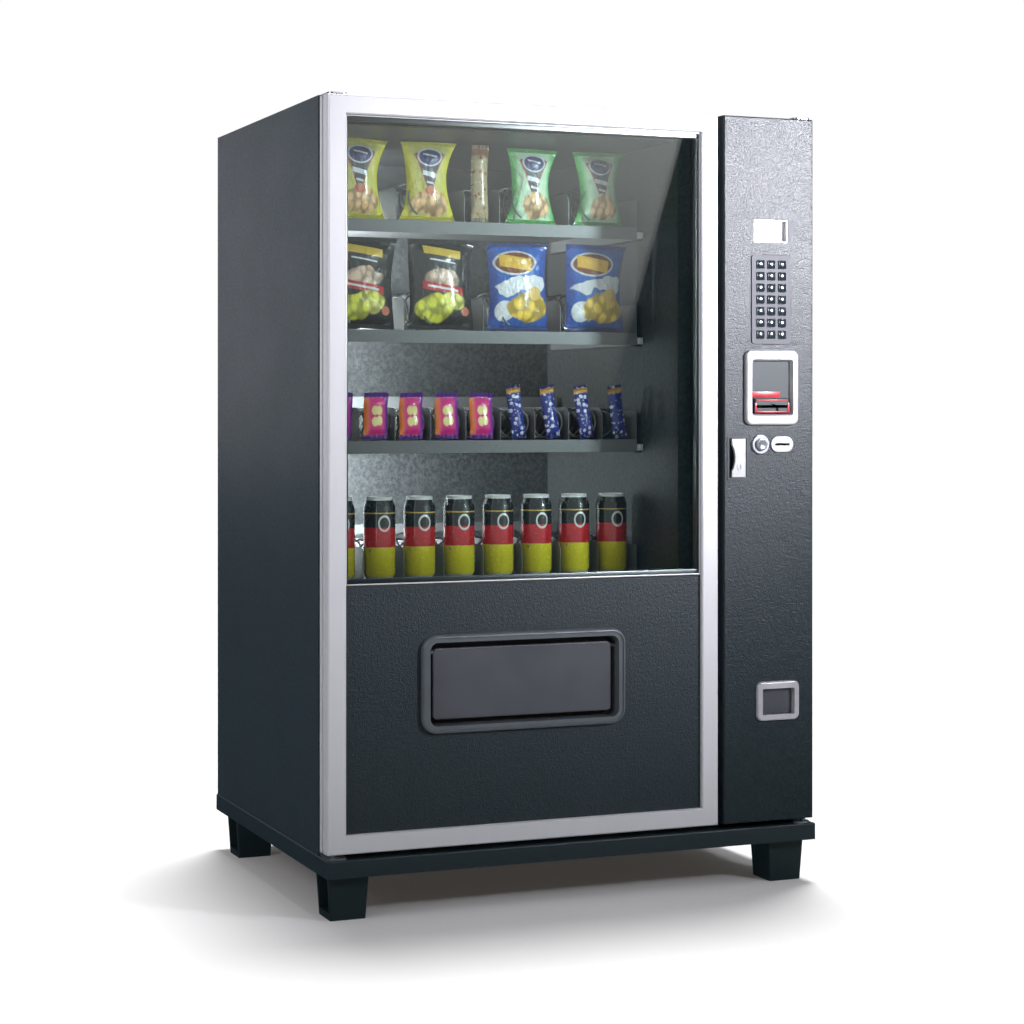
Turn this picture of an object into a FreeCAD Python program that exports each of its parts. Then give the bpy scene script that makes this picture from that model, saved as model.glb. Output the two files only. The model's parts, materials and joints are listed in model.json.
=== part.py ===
"""Snack vending machine, free standing: a steel cabinet on four legs, a glazed product door hinged on the
left, a payment door hinged on the right, four sliding trays with spiral drives, and a cooling unit below.

Units are millimetres. The pieces are drawn with X from the cabinet's left side, Y from the doors' front face
towards the back, and Z from the floor. export() then moves them so that the origin is on the floor, in the
middle of the machine's width and depth. One STEP file is written for each piece, under the piece's name.
"""

import FreeCAD
import Part

import math
import os

V = FreeCAD.Vector
X_AXIS, Y_AXIS, Z_AXIS = V(1, 0, 0), V(0, 1, 0), V(0, 0, 1)

# ---------------------------------------------------------------- driving dimensions
WIDTH = 1060.0
DEPTH = 812.0
TOP = 1594.0
SHEET = 1.5  # cabinet sheet steel
REAR_FOLD = 30.0

LEG_HEIGHT = 87.5
LEG_WIDTH = 82.0
LEG_DEPTH = 84.0
LEG_TAPER = 5.0  # each side, from top to bottom
LEG_SIDE_INSET = 9.0
LEG_FRONT_INSET = 25.0
LEG_REAR_INSET = 49.0
LEG_FOOT = 14.0  # thickness of the foot plate
ANCHOR_HOLE_R = 5.5

BASE_HEIGHT = 34.5
BASE_SIDE_LIP = 3.0
BASE_FRONT_LIP = 4.0
BASE_SHEET = 3.0
BASE_TOP = LEG_HEIGHT + BASE_HEIGHT

DOOR_BOTTOM = BASE_TOP + 10.0
DOOR_TOP = TOP - 4.0
DOOR_BACK = 52.0
CABINET_FRONT = 62.0
GLASS_DOOR_WIDTH = 838.0
PAYMENT_LEFT = 851.0
HINGE_INSET = 15.0  # hinge pin from the door's outer edge
HINGE_Y = 16.0
PIN_R = 5.0
PIN_CLEARANCE = 0.06

FRAME_WIDTH = 37.0  # face of the aluminium profile
FRAME_LIP = 7.0  # the part of the face that covers the glass edge
PANE_Y = 10.0
PANE = 4.0
PANEL_TOP = 645.0  # where the lower panel ends and the glass begins
PANE_EDGE = FRAME_WIDTH - FRAME_LIP + 1  # how far the panes stay inside the door's outline

CHAMBER_LEFT = 52.0
CHAMBER_RIGHT = 776.0
CHAMBER_BACK = 742.0
CHAMBER_FLOOR = 335.0
CHAMBER_CEILING = 1540.0
PARTITION_X = 838.0
FAN_X, FAN_Y, FAN_Z, FAN_R = 560.0, 690.0, 228.0, 78.0
FAN_SHAFT_R = 4.0

TRAY_LEFT = 64.0
TRAY_RIGHT = 763.0
TRAY_FRONT = 230.0
TRAY_BACK = 690.0
TRAY_LIP = 26.0
TRAY_SIDE = 60.0
TRAY_SEAM = 0.05  # gap between two riveted sheets
MOTOR_PLATE_Y = 655.0
DISC_FRONT = MOTOR_PLATE_Y - 8.0
SPIRAL_SETBACK = 74.0  # from the tray's front to the turning spiral, where the front product stands
SPIRAL_STEPS = 12
DIVIDER_HEIGHT = 68.0
# floor height, lane edges as shares of the tray's width, spiral radius, spiral pitch
TRAYS = {
    1: (1373.0, [0.0, 0.226, 0.44, 0.552, 0.778, 1.0], 42.0, 58.0),
    2: (1148.0, [n / 4 for n in range(5)], 42.0, 58.0),
    3: (921.0, [n / 9 for n in range(10)], 30.0, 38.0),
    4: (636.0, [n / 8 for n in range(9)], 35.0, 71.0),
}
NARROW_LANE = 90.0  # lanes under this width take the small spiral
SMALL_SPIRAL_R = 35.0
WIRE_R = 2.2
SHAFT_R = 5.0
TURNING_LANE = {1: 2, 2: 3, 3: 8, 4: 7}  # the lane of each tray whose spiral is a piece of its own

# ---------------------------------------------------------------- payment door, from the face's own centres
COLUMN_X = 959.5
DISPLAY = (921.0, 999.0, 1331.0, 1378.0)  # x0, x1, z0, z1
KEYPAD = (914.0, 1005.0, 1120.0, 1305.0)
KEY_PITCH_X = 25.3
KEY_PITCH_Z = 24.2
KEY_TOP_Z = 1285.0
KEY_SIZE = 17.0
KEY_GAP = 0.35
KEY_ROWS = (
    ("a", "b", "c"),
    ("d", "e", "f"),
    ("1", "2", "3"),
    ("4", "5", "6"),
    ("7", "8", "9"),
    ("star", "0", "hash"),
    ("clear", "back", "enter"),
)
BILL = (898.0, 1021.0, 953.0, 1108.0)
BILL_OPENING = (915.0, 1004.0, 976.0, 1085.0)
BILL_SLOT_Z = 991.0
BILL_SLOT_HEIGHT = 6.0
BILL_SLOT_WIDTH = 72.0
LOCK = (858.0, 907.0, 840.0, 930.0)
LOCK_PIN_X, LOCK_PIN_Y, LOCK_PIN_R = 898.0, 1.5, 2.5
BUTTON_X, BUTTON_Z, BUTTON_R = 934.5, 912.5, 13.0
COIN_X, COIN_Z = 985.0, 912.5
COIN_SLOT_LENGTH = 34.0
COIN_SLOT_HEIGHT = 4.8
CUP = (925.0, 1024.0, 341.0, 422.0)
CUP_OPENING = (937.0, 1012.0, 353.0, 407.0)
CUP_DEPTH = 62.0
CUP_PIN_Y, CUP_PIN_Z, CUP_PIN_R = 6.5, 402.0, 1.3

# ---------------------------------------------------------------- product delivery
BEZEL = (192.0, 628.0, 353.0, 546.0)
PORT = (208.5, 613.5, 367.5, 530.5)  # opening of the delivery port
PORT_CORNER = 16.0
FLAP = (219.5, 603.0, 378.5, 518.0)
FLAP_FRONT = 17.0
FLAP_BACK = 26.0
FLAP_PIN_Y, FLAP_PIN_Z, FLAP_PIN_R = 21.5, 510.0, 4.0
TUNNEL_BACK = 56.0
TUNNEL_WALL = 2.5
BIN_BACK = 222.0

# the origin is under the middle of everything that is drawn, from the button's face to the rear panel
FRONTMOST = -11.0
ORIGIN = V(WIDTH / 2, (FRONTMOST + DEPTH) / 2, 0)


# ---------------------------------------------------------------- shapes that many pieces use
def box(x0, x1, y0, y1, z0, z1):
    return Part.makeBox(x1 - x0, y1 - y0, z1 - z0, V(x0, y0, z0))


def cylinder(x, y, z, radius, length, axis):
    return Part.makeCylinder(radius, length, V(x, y, z), axis)


def outline(x0, x1, z0, z1, radius, y):
    """Closed rectangle with round corners, upright at depth y."""
    middle = radius * (1 - math.sqrt(0.5))
    corners = [
        ((x0, z0 + radius), (x0 + middle, z0 + middle), (x0 + radius, z0)),
        ((x1 - radius, z0), (x1 - middle, z0 + middle), (x1, z0 + radius)),
        ((x1, z1 - radius), (x1 - middle, z1 - middle), (x1 - radius, z1)),
        ((x0 + radius, z1), (x0 + middle, z1 - middle), (x0, z1 - radius)),
    ]
    edges = []
    for n, corner in enumerate(corners):
        start, through, end = [V(a, y, b) for a, b in corner]
        following = corners[(n + 1) % 4][0]
        edges.append(Part.Arc(start, through, end).toShape())
        if (end - V(following[0], y, following[1])).Length > 0.001:
            edges.append(Part.LineSegment(end, V(following[0], y, following[1])).toShape())
    return Part.Wire(edges)


def slab(x0, x1, z0, z1, y0, y1, radius):
    """Upright plate with round corners, from y0 back to y1."""
    return Part.Face(outline(x0, x1, z0, z1, radius, y0)).extrude(V(0, y1 - y0, 0))


def grown(rect, by):
    x0, x1, z0, z1 = rect
    return x0 - by, x1 + by, z0 - by, z1 + by


def soften(shape, radius, wanted):
    """Rounds the edges that wanted() picks by their middle point."""
    edges = [e for e in shape.Edges if wanted(e.CenterOfMass)]
    return shape.makeFillet(radius, edges)


def fused(first, *others):
    return first.multiFuse(list(others)).removeSplitter()


def prism(points, y0, y1):
    """Upright prism with straight sides; points are (x, z)."""
    wire = Part.makePolygon([V(x, y0, z) for x, z in points + points[:1]])
    return Part.Face(wire).extrude(V(0, y1 - y0, 0))


# ---------------------------------------------------------------- base and legs
def tapered_block(x0, x1, y0, y1, height, taper):
    """Block on the floor whose four sides lean out by the taper from bottom to top."""
    block = Part.makeWedge(x0 + taper, 0, -y1 + taper, -y1, x0, x1 - taper, height, -y0 - taper, -y0, x1)
    block.rotate(V(0, 0, 0), X_AXIS, 90)
    return block


def leg(x0, y0, outer_side):
    """One tapered leg, open on its outer side so that the anchor bolt can be reached."""
    x1, y1 = x0 + LEG_WIDTH, y0 + LEG_DEPTH
    solid = tapered_block(x0, x1, y0, y1, LEG_HEIGHT, LEG_TAPER)
    solid = solid.makeFillet(3.0, [e for e in solid.Edges if abs(e.BoundBox.ZLength - LEG_HEIGHT) < 0.5])
    wall, rim = 7.0, 12.0
    pocket_x = (x0 - 10, x1 - wall - LEG_TAPER) if outer_side < 0 else (x0 + wall + LEG_TAPER, x1 + 10)
    pocket = box(pocket_x[0], pocket_x[1], y0 + rim, y1 - rim, LEG_FOOT, LEG_HEIGHT - 6)
    anchor = cylinder((x0 + x1) / 2, (y0 + y1) / 2, -1, ANCHOR_HOLE_R, LEG_FOOT + 2, Z_AXIS)
    return solid.cut(pocket).cut(anchor)


def legs():
    left, right = LEG_SIDE_INSET, WIDTH - LEG_SIDE_INSET - LEG_WIDTH
    front, rear = LEG_FRONT_INSET, DEPTH - LEG_REAR_INSET - LEG_DEPTH
    return Part.Compound([leg(x, y, side) for x, side in ((left, -1), (right, 1)) for y in (front, rear)])


def base_frame():
    """Folded pan that faces down, with a return flange and two channels over the legs."""
    x0, x1, y0, y1 = -BASE_SIDE_LIP, WIDTH + BASE_SIDE_LIP, -BASE_FRONT_LIP, DEPTH
    pan = box(x0, x1, y0, y1, LEG_HEIGHT, BASE_TOP)
    pan = soften(pan, 3.0, lambda c: c.z > BASE_TOP - 0.1 and c.y < y1 - 1)
    t, flange = BASE_SHEET, 24.0
    pan = pan.cut(box(x0 + t, x1 - t, y0 + t, y1 - t, LEG_HEIGHT + t, BASE_TOP - t))
    pan = pan.cut(box(x0 + flange, x1 - flange, y0 + flange, y1 - flange, LEG_HEIGHT - 1, LEG_HEIGHT + t + 1))
    channels = []
    for x in (LEG_SIDE_INSET, WIDTH - LEG_SIDE_INSET - LEG_WIDTH):
        channel = box(x, x + LEG_WIDTH, y0 + t, y1 - t, LEG_HEIGHT, BASE_TOP - t)
        channels.append(channel.cut(box(x + t, x + LEG_WIDTH - t, y0, y1, LEG_HEIGHT + t, BASE_TOP)))
    return fused(pan, *channels)


# ---------------------------------------------------------------- cabinet
def cabinet_shell():
    """Two side sheets and the top sheet with its rear fold."""
    left = box(0, SHEET, CABINET_FRONT, DEPTH, BASE_TOP, TOP)
    right = box(WIDTH - SHEET, WIDTH, CABINET_FRONT, DEPTH, BASE_TOP, TOP)
    top = box(SHEET, WIDTH - SHEET, CABINET_FRONT, DEPTH, TOP - SHEET, TOP)
    rear_fold = box(SHEET, WIDTH - SHEET, DEPTH - SHEET, DEPTH, TOP - REAR_FOLD, TOP - SHEET)
    return Part.Compound([left, right, fused(top, rear_fold)])


def rear_panel():
    """Rear cover with louvre slots over the cooling unit, its screws, and the mains inlet."""
    y0, top = DEPTH - SHEET, TOP - REAR_FOLD
    panel = box(SHEET, WIDTH - SHEET, y0, DEPTH, BASE_TOP, top)
    slots = []
    for column in range(3):
        x = 420.0 + column * 105.0
        for row in range(10):
            z = 150.0 + row * 16.0
            slots.append(slab(x, x + 90, z, z + 6, y0 - 1, DEPTH + 1, 2.9))
    inlet_hole = box(900, 948, y0 - 1, DEPTH + 1, 180, 208)
    panel = panel.cut(Part.Compound(slots + [inlet_hole]))
    inlet = box(900.2, 947.8, y0 - 24, DEPTH, 180.2, 207.8)
    inlet = inlet.cut(box(909, 939, y0 - 16, DEPTH + 1, 186, 202))
    pins = [box(x, x + 2, y0 - 16, DEPTH - 3, 191, 197) for x in (916, 923, 930)]
    return Part.Compound([panel, fused(inlet, *pins)])


def inner_liner():
    """Sheets of the product chamber, the flanges that the doors close on, the partition, the tray rails."""
    y0, y1 = CABINET_FRONT, CABINET_FRONT + SHEET
    left, right = CHAMBER_LEFT, CHAMBER_RIGHT
    floor, ceiling, back = CHAMBER_FLOOR, CHAMBER_CEILING, CHAMBER_BACK
    top = TOP - SHEET
    rear = DEPTH - SHEET
    sheets = [
        box(left - SHEET, left, y1, back, floor, ceiling),
        box(right, right + SHEET, y1, back, floor, ceiling),
        box(left - SHEET, right + SHEET, back, back + SHEET, floor, ceiling),
        box(left - SHEET, right + SHEET, y1, back + SHEET, floor - SHEET, floor),
        box(left - SHEET, right + SHEET, y1, back + SHEET, ceiling, ceiling + SHEET),
        box(SHEET, left, y0, y1, BASE_TOP, top),
        box(right, PARTITION_X, y0, y1, BASE_TOP, top),
        box(left, right, y0, y1, ceiling, top),
        box(left, right, y0, y1, BASE_TOP, floor),
        box(PARTITION_X, PARTITION_X + SHEET, y0, rear, BASE_TOP, top),
        box(WIDTH - 20, WIDTH - SHEET, y0, y1, BASE_TOP, top),
    ]
    return Part.Compound(sheets + tray_rails())


def tray_rails():
    """An angle on each side of each tray. The tray's sides slide on the feet."""
    rails = []
    gap, web, foot = 0.3, 2.0, 18.0
    for floor, _, _, _ in TRAYS.values():
        foot_top = floor - TRAY_LIP - gap
        for wall, inward in ((CHAMBER_LEFT, 1), (CHAMBER_RIGHT, -1)):
            x0, x1 = sorted((wall, wall + inward * web))
            f0, f1 = sorted((wall, wall + inward * foot))
            upright = box(x0, x1, TRAY_FRONT + 4, TRAY_BACK + 20, foot_top - web, floor - 8)
            shelf = box(f0, f1, TRAY_FRONT + 4, TRAY_BACK + 20, foot_top - web, foot_top)
            rails.append(fused(upright, shelf))
    return rails


def hinge_bracket(x, door_side, z_plate, z_pin, z_web):
    """Angle bracket with a door's pin. door_side is 1 for a door to the right of its hinge."""
    x0, x1 = sorted((x - door_side * 12, x + door_side * 26))
    z0, z1 = z_plate
    plate = slab_flat(x0, x1, HINGE_Y - 11, CABINET_FRONT, z0, z1, 9.0)
    web = box(x0, x1, CABINET_FRONT - 3, CABINET_FRONT, z_web[0], z_web[1])
    pin = cylinder(x, HINGE_Y, z_pin[0], PIN_R, z_pin[1] - z_pin[0], Z_AXIS)
    return fused(plate, web, pin)


def slab_flat(x0, x1, y0, y1, z0, z1, radius):
    """Level plate whose two front corners are round."""
    plate = box(x0, x1, y0, y1, z0, z1)
    return soften(plate, radius, lambda c: abs(c.y - y0) < 0.1 and abs(c.z - (z0 + z1) / 2) < 0.1
                  and min(abs(c.x - x0), abs(c.x - x1)) < 0.1)


def door_hinges():
    plate, reach = 3.0, 18.0
    brackets = []
    for x, side in ((HINGE_INSET, 1), (WIDTH - HINGE_INSET, -1)):
        low = (BASE_TOP, BASE_TOP + plate)
        high = (TOP - plate, TOP)
        pin_z = (BASE_TOP + 1, DOOR_BOTTOM + reach)
        brackets.append(hinge_bracket(x, side, low, pin_z, (BASE_TOP, DOOR_BOTTOM)))
        brackets.append(hinge_bracket(x, side, high, (DOOR_TOP - reach, TOP - 1), (DOOR_TOP - 10, TOP)))
    return Part.Compound(brackets)


# ---------------------------------------------------------------- cooling unit


def cooling_unit():
    """Compressor, condenser with its fan shroud and motor, and the evaporator inside the chamber."""
    floor = BASE_TOP + SHEET
    deck = box(60, 780, 400, 800, BASE_TOP, floor)
    body = Part.makeCylinder(78, 120, V(200, 620, floor + 22))
    upper_half = box(100, 300, 520, 720, floor + 142, floor + 190)
    dome = Part.makeSphere(78, V(200, 620, floor + 142)).common(upper_half)
    feet = [Part.makeCylinder(10, 22, V(200 + a, 620 + b, floor)) for a in (-52, 52) for b in (-52, 52)]
    compressor = fused(body, dome, *feet)
    fins = [box(430 + n * 16, 434 + n * 16, 590, 650, floor, 322) for n in range(17)]
    tubes = [cylinder(422, 620, z, 6, 276, X_AXIS) for z in range(150, 320, 40)]
    condenser = fused(tubes[0], *tubes[1:], *fins)
    shroud = box(426, 694, 652, 706, floor, 324).cut(box(429, 691, 640, 704, floor + 3, 321))
    shroud = shroud.cut(cylinder(FAN_X, 640, FAN_Z, FAN_R + 5, 100, Y_AXIS))
    spider = box(429, 691, 656, 659, FAN_Z - 8, FAN_Z + 8)
    motor = cylinder(FAN_X, 659, FAN_Z, 26, 16, Y_AXIS)
    shaft = cylinder(FAN_X, 675, FAN_Z, FAN_SHAFT_R, 24, Y_AXIS)
    shroud = fused(shroud, spider, motor, shaft)
    evaporator_fins = [box(150 + n * 20, 154 + n * 20, 470, 640, CHAMBER_FLOOR + 12, 560) for n in range(26)]
    evaporator_ends = [box(x, x + 4, 460, 650, CHAMBER_FLOOR, 572) for x in (142, 654)]
    pipes = [cylinder(142, y, z, 5, 516, X_AXIS) for y in (515, 595) for z in (385, 455, 525)]
    evaporator = fused(evaporator_ends[0], evaporator_ends[1], *evaporator_fins, *pipes)
    return Part.Compound([deck, compressor, condenser, shroud, evaporator])


def condenser_fan():
    """Hub with five twisted blades."""
    hub = cylinder(0, -6, 0, 22, 18, Y_AXIS)
    blades = []
    for n in range(5):
        root = Part.makePolygon([V(16, -7, -12), V(16, -5, -12), V(16, 9, 12), V(16, 7, 12), V(16, -7, -12)])
        tip = Part.makePolygon([V(FAN_R, -5, -27), V(FAN_R, -3.5, -27), V(FAN_R, 6, 27), V(FAN_R, 4.5, 27),
                                V(FAN_R, -5, -27)])
        blade = Part.makeLoft([root, tip], True, True)
        blade.rotate(V(0, 0, 0), Y_AXIS, 72 * n)
        blades.append(blade)
    fan = fused(hub, *blades).common(cylinder(0, -20, 0, FAN_R, 40, Y_AXIS))
    fan = fan.cut(cylinder(0, -20, 0, FAN_SHAFT_R + PIN_CLEARANCE, 40, Y_AXIS))
    fan.translate(V(FAN_X, FAN_Y, FAN_Z))
    return fan


# ---------------------------------------------------------------- glazed product door
def frame_member(length):
    """One mitred aluminium profile, along X, with its outer edge at z 0."""
    w, lip, back = FRAME_WIDTH, FRAME_LIP, DOOR_BACK
    groove0, groove1, groove_depth = 30.0, 40.0, 8.0
    r = 4.0
    m = r * (1 - math.sqrt(0.5))
    bevel = 2.5
    corners = [(r, 0), (w - bevel, 0), (w, bevel), (w, PANE_Y), (w - lip, PANE_Y), (w - lip, back), (0, back),
               (0, groove1), (groove_depth, groove1), (groove_depth, groove0), (0, groove0), (0, r)]
    points = [V(0, depth, height) for height, depth in corners]
    edges = [Part.LineSegment(a, b).toShape() for a, b in zip(points, points[1:])]
    edges.append(Part.Arc(points[-1], V(0, m, m), points[0]).toShape())
    member = Part.Face(Part.Wire(edges)).extrude(V(length, 0, 0))
    wall = 3.0
    member = member.cut(box(-1, length + 1, wall, groove0 - wall, wall, w - lip - wall))
    reach = w + 5
    start = prism([(-1, -1), (-1, reach), (reach, reach)], -5, back + 5)
    end = prism([(length + 1, -1), (length + 1, reach), (length - reach, reach)], -5, back + 5)
    return member.cut(start).cut(end)


def door_frame():
    width, height = GLASS_DOOR_WIDTH, DOOR_TOP - DOOR_BOTTOM
    members = []
    for length, angle, corner in (
        (width, 0, V(0, 0, DOOR_BOTTOM)),
        (height, -90, V(width, 0, DOOR_BOTTOM)),
        (width, 180, V(width, 0, DOOR_TOP)),
        (height, 90, V(0, 0, DOOR_TOP)),
    ):
        member = frame_member(length)
        member.rotate(V(0, 0, 0), Y_AXIS, angle)
        member.translate(corner)
        members.append(member)
    height = DOOR_TOP - DOOR_BOTTOM + 2
    bore = cylinder(HINGE_INSET, HINGE_Y, DOOR_BOTTOM - 1, PIN_R + PIN_CLEARANCE, height, Z_AXIS)
    members[0] = members[0].cut(bore)
    members[2] = members[2].cut(bore)
    return Part.Compound(members)




def door_glass():
    x0, x1 = PANE_EDGE, GLASS_DOOR_WIDTH - PANE_EDGE
    z0, z1 = PANEL_TOP + 1, DOOR_TOP - PANE_EDGE
    inner = PANE_Y + 18
    return Part.Compound([box(x0, x1, y, y + PANE, z0, z1) for y in (PANE_Y, inner)])


def lower_panel():
    """Textured sheet below the glass, folded back along its top, with the hole for the delivery port."""
    x0, x1 = PANE_EDGE, GLASS_DOOR_WIDTH - PANE_EDGE
    z0 = DOOR_BOTTOM + PANE_EDGE
    sheet = box(x0, x1, PANE_Y, PANE_Y + 2, z0, PANEL_TOP)
    fold = box(x0, x1, PANE_Y, PANE_Y + 24, PANEL_TOP - 2, PANEL_TOP)
    hole = slab(*grown(PORT, TUNNEL_WALL + 0.2), PANE_Y - 1, PANE_Y + 4, 8.0)
    return fused(sheet, fold).cut(hole)


def delivery_bezel():
    """Raised surround and the tunnel behind it, whose side walls carry the flap's pins."""
    front, seat = -3.0, PANE_Y
    ring = slab(*BEZEL, front, seat, 31.0)
    ring = soften(ring, 7.0, lambda c: abs(c.y - front) < 0.1)
    step = slab(*grown(PORT, 9.0), front - 1, front + 3, PORT_CORNER + 8.0)
    ring = ring.cut(step)
    tunnel = slab(*grown(PORT, TUNNEL_WALL), seat - 1, TUNNEL_BACK, PORT_CORNER + TUNNEL_WALL)
    hole_r = FLAP_PIN_R + PIN_CLEARANCE
    pin_hole = cylinder(PORT[0] - 10, FLAP_PIN_Y, FLAP_PIN_Z, hole_r, PORT[1] - PORT[0] + 20, X_AXIS)
    return fused(ring, tunnel).cut(slab(*PORT, front - 1, TUNNEL_BACK + 1, PORT_CORNER)).cut(pin_hole)


def delivery_flap():
    plate = slab(*FLAP, FLAP_FRONT, FLAP_BACK, 9.0)
    plate = soften(plate, 2.5, lambda c: abs(c.y - FLAP_FRONT) < 0.1)
    x0, x1 = PORT[0] - TUNNEL_WALL + 0.3, PORT[1] + TUNNEL_WALL - 0.3
    return fused(plate, cylinder(x0, FLAP_PIN_Y, FLAP_PIN_Z, FLAP_PIN_R, x1 - x0, X_AXIS))


def delivery_bin():
    """Hopper behind the lower panel: it catches what drops from the trays and leads it to the port."""
    t = 2.0
    floor = PORT[2] - TUNNEL_WALL - t
    side, shoulder, rim = 68.0, 540.0, 600.0
    right = 738.0
    x0, x1 = PORT[0] - TUNNEL_WALL, PORT[1] + TUNNEL_WALL
    outer = [(x0, floor), (x1, floor), (right, shoulder), (right, rim), (side, rim), (side, shoulder)]
    inner = [(x0 + 1, floor + t), (x1 - 1, floor + t), (right - t, shoulder + 1), (right - t, rim + 9),
             (side + t, rim + 9), (side + t, shoulder + 1)]
    shell = prism(outer, TUNNEL_BACK + 0.3, BIN_BACK)
    shell = shell.cut(prism(inner, TUNNEL_BACK + 0.3 + t, BIN_BACK - t))
    return shell.cut(box(PORT[0], PORT[1], TUNNEL_BACK - 2, TUNNEL_BACK + 5, PORT[2], PORT[3]))


def door_gasket():
    inset, width = 20.0, 13.0
    y0, y1 = DOOR_BACK + 0.2, CABINET_FRONT - 0.5
    x0, x1, z0, z1 = inset, GLASS_DOOR_WIDTH - inset, DOOR_BOTTOM + inset, DOOR_TOP - inset
    ring = slab(x0, x1, z0, z1, y0, y1, 6.0)
    return ring.cut(slab(x0 + width, x1 - width, z0 + width, z1 - width, y0 - 1, y1 + 1, 3.0))


# ---------------------------------------------------------------- payment door
def payment_panel():
    """Folded steel door with the openings for the things that the customer uses."""
    t = 2.0
    x0, x1 = PAYMENT_LEFT, WIDTH
    shell = box(x0, x1, 0, DOOR_BACK, DOOR_BOTTOM, DOOR_TOP)
    shell = soften(shell, 3.0, lambda c: abs(c.y) < 0.1)
    shell = shell.cut(box(x0 + t, x1 - t, t, DOOR_BACK + 1, DOOR_BOTTOM + t, DOOR_TOP - t))
    cuts = [
        slab(*DISPLAY, -1, t + 1, 1.5),
        slab(*grown(KEYPAD, -6), -1, t + 1, 3.0),
        slab(*grown(BILL_OPENING, 2), -1, t + 1, 4.0),
        slab(*grown(LOCK, -3), -1, t + 1, 3.0),
        cylinder(BUTTON_X, -1, BUTTON_Z, 17.0, 5, Y_AXIS),
        slab(COIN_X - 20, COIN_X + 20, COIN_Z - 9, COIN_Z + 9, -1, t + 1, 8.0),
        slab(*grown(CUP_OPENING, 2), -1, t + 1, 4.0),
        cylinder(WIDTH - HINGE_INSET, HINGE_Y, DOOR_BOTTOM - 1, PIN_R + PIN_CLEARANCE,
                 DOOR_TOP - DOOR_BOTTOM + 2, Z_AXIS),
    ]
    return shell.cut(Part.Compound(cuts))


def display_window():
    """Dark box set into the door, with the lens plate 11 mm back."""
    x0, x1, z0, z1 = grown(DISPLAY, -0.2)
    outer = slab(x0, x1, z0, z1, 0.3, 26, 1.2)
    return outer.cut(box(x0 + 1.6, x1 - 1.6, -1, 11, z0 + 1.6, z1 - 1.6))


def key_centres():
    for row, names in enumerate(KEY_ROWS):
        for column, name in enumerate(names):
            yield name, COLUMN_X + (column - 1) * KEY_PITCH_X, KEY_TOP_Z - row * KEY_PITCH_Z


def keypad_plate():
    plate = slab(*KEYPAD, -2.5, -0.2, 7.0)
    plate = soften(plate, 0.8, lambda c: abs(c.y + 2.5) < 0.1)
    box_behind = slab(*grown(KEYPAD, -6.4), -0.2, 9.0, 2.6)
    box_behind = box_behind.cut(slab(*grown(KEYPAD, -8.4), 0.6, 7.5, 1.2))
    half = KEY_SIZE / 2 + KEY_GAP
    holes = [slab(x - half, x + half, z - half, z + half, -3, 1.0, 2.3) for _, x, z in key_centres()]
    return fused(plate, box_behind).cut(Part.Compound(holes))


def key(x, z):
    """Key cap with a round-edged square top and the wider skirt that keeps it behind the plate."""
    half = KEY_SIZE / 2
    cap = slab(x - half, x + half, z - half, z + half, -6.0, 1.5, 2.0)
    cap = soften(cap, 1.2, lambda c: abs(c.y + 6.0) < 0.1)
    skirt = slab(x - half - 1.6, x + half + 1.6, z - half - 1.6, z + half + 1.6, 1.5, 3.0, 2.0)
    return fused(cap, skirt)


def bill_bezel():
    """Cast surround of the note slot, with bevelled inner walls."""
    front = -10.0
    ring = slab(*BILL, front, -0.2, 14.0)
    ring = soften(ring, 4.0, lambda c: abs(c.y - front) < 0.1)
    mouth = Part.makeLoft([outline(*grown(BILL_OPENING, 4), 7.0, front - 0.1),
                           outline(*BILL_OPENING, 3.0, 0.0)], True, True)
    ring = ring.cut(mouth)
    return ring.cut(slab(*BILL_OPENING, -1, 1, 3.0))


def bill_validator():
    """Note reader: a body behind the door, and a mouth that reaches into the bezel, with the note slot."""
    x0, x1, z0, z1 = grown(BILL_OPENING, -1)
    body = box(x0 - 4, x1 + 4, 6.0, 128.0, BILL[2] - 8.0, 1088.0)
    back_plate = slab(x0, x1, z0, z1, 1.0, 7.0, 2.5)
    mouth = box(x0 + 3, x1 - 3, -7.0, 2.0, z0 + 1, BILL_SLOT_Z + 17)
    mouth = soften(mouth, 3.0, lambda c: c.y < -6.9)
    x_mid = (x0 + x1) / 2
    half = BILL_SLOT_WIDTH / 2
    tall = BILL_SLOT_HEIGHT / 2
    slot = box(x_mid - half, x_mid + half, -9, 46, BILL_SLOT_Z - tall, BILL_SLOT_Z + tall)
    thumb = cylinder(x_mid, -9, BILL_SLOT_Z - 9, 15, 7, Y_AXIS)
    return fused(body, back_plate, mouth).cut(slot).cut(thumb)


def coin_trim():
    """Oval coin entry plate, and the ring round the return button."""
    oval = slab(COIN_X - 27, COIN_X + 27, COIN_Z - 17, COIN_Z + 17, -4.0, -0.2, 16.9)
    oval = soften(oval, 2.0, lambda c: abs(c.y + 4.0) < 0.1)
    neck = slab(COIN_X - 19.5, COIN_X + 19.5, COIN_Z - 8.5, COIN_Z + 8.5, -0.2, 8.0, 7.5)
    half, tall = COIN_SLOT_LENGTH / 2, COIN_SLOT_HEIGHT / 2
    oval = fused(oval, neck).cut(slab(COIN_X - half, COIN_X + half, COIN_Z - tall, COIN_Z + tall, -5, 9, 2.3))
    ring = cylinder(BUTTON_X, -5.0, BUTTON_Z, 20.5, 4.8, Y_AXIS)
    ring = soften(ring, 2.5, lambda c: abs(c.y + 5.0) < 0.1)
    sleeve = cylinder(BUTTON_X, -0.2, BUTTON_Z, 16.5, 12.2, Y_AXIS)
    bore = cylinder(BUTTON_X, -9, BUTTON_Z, BUTTON_R + 0.3, 30, Y_AXIS)
    return Part.Compound([oval, fused(ring, sleeve).cut(bore)])


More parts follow.
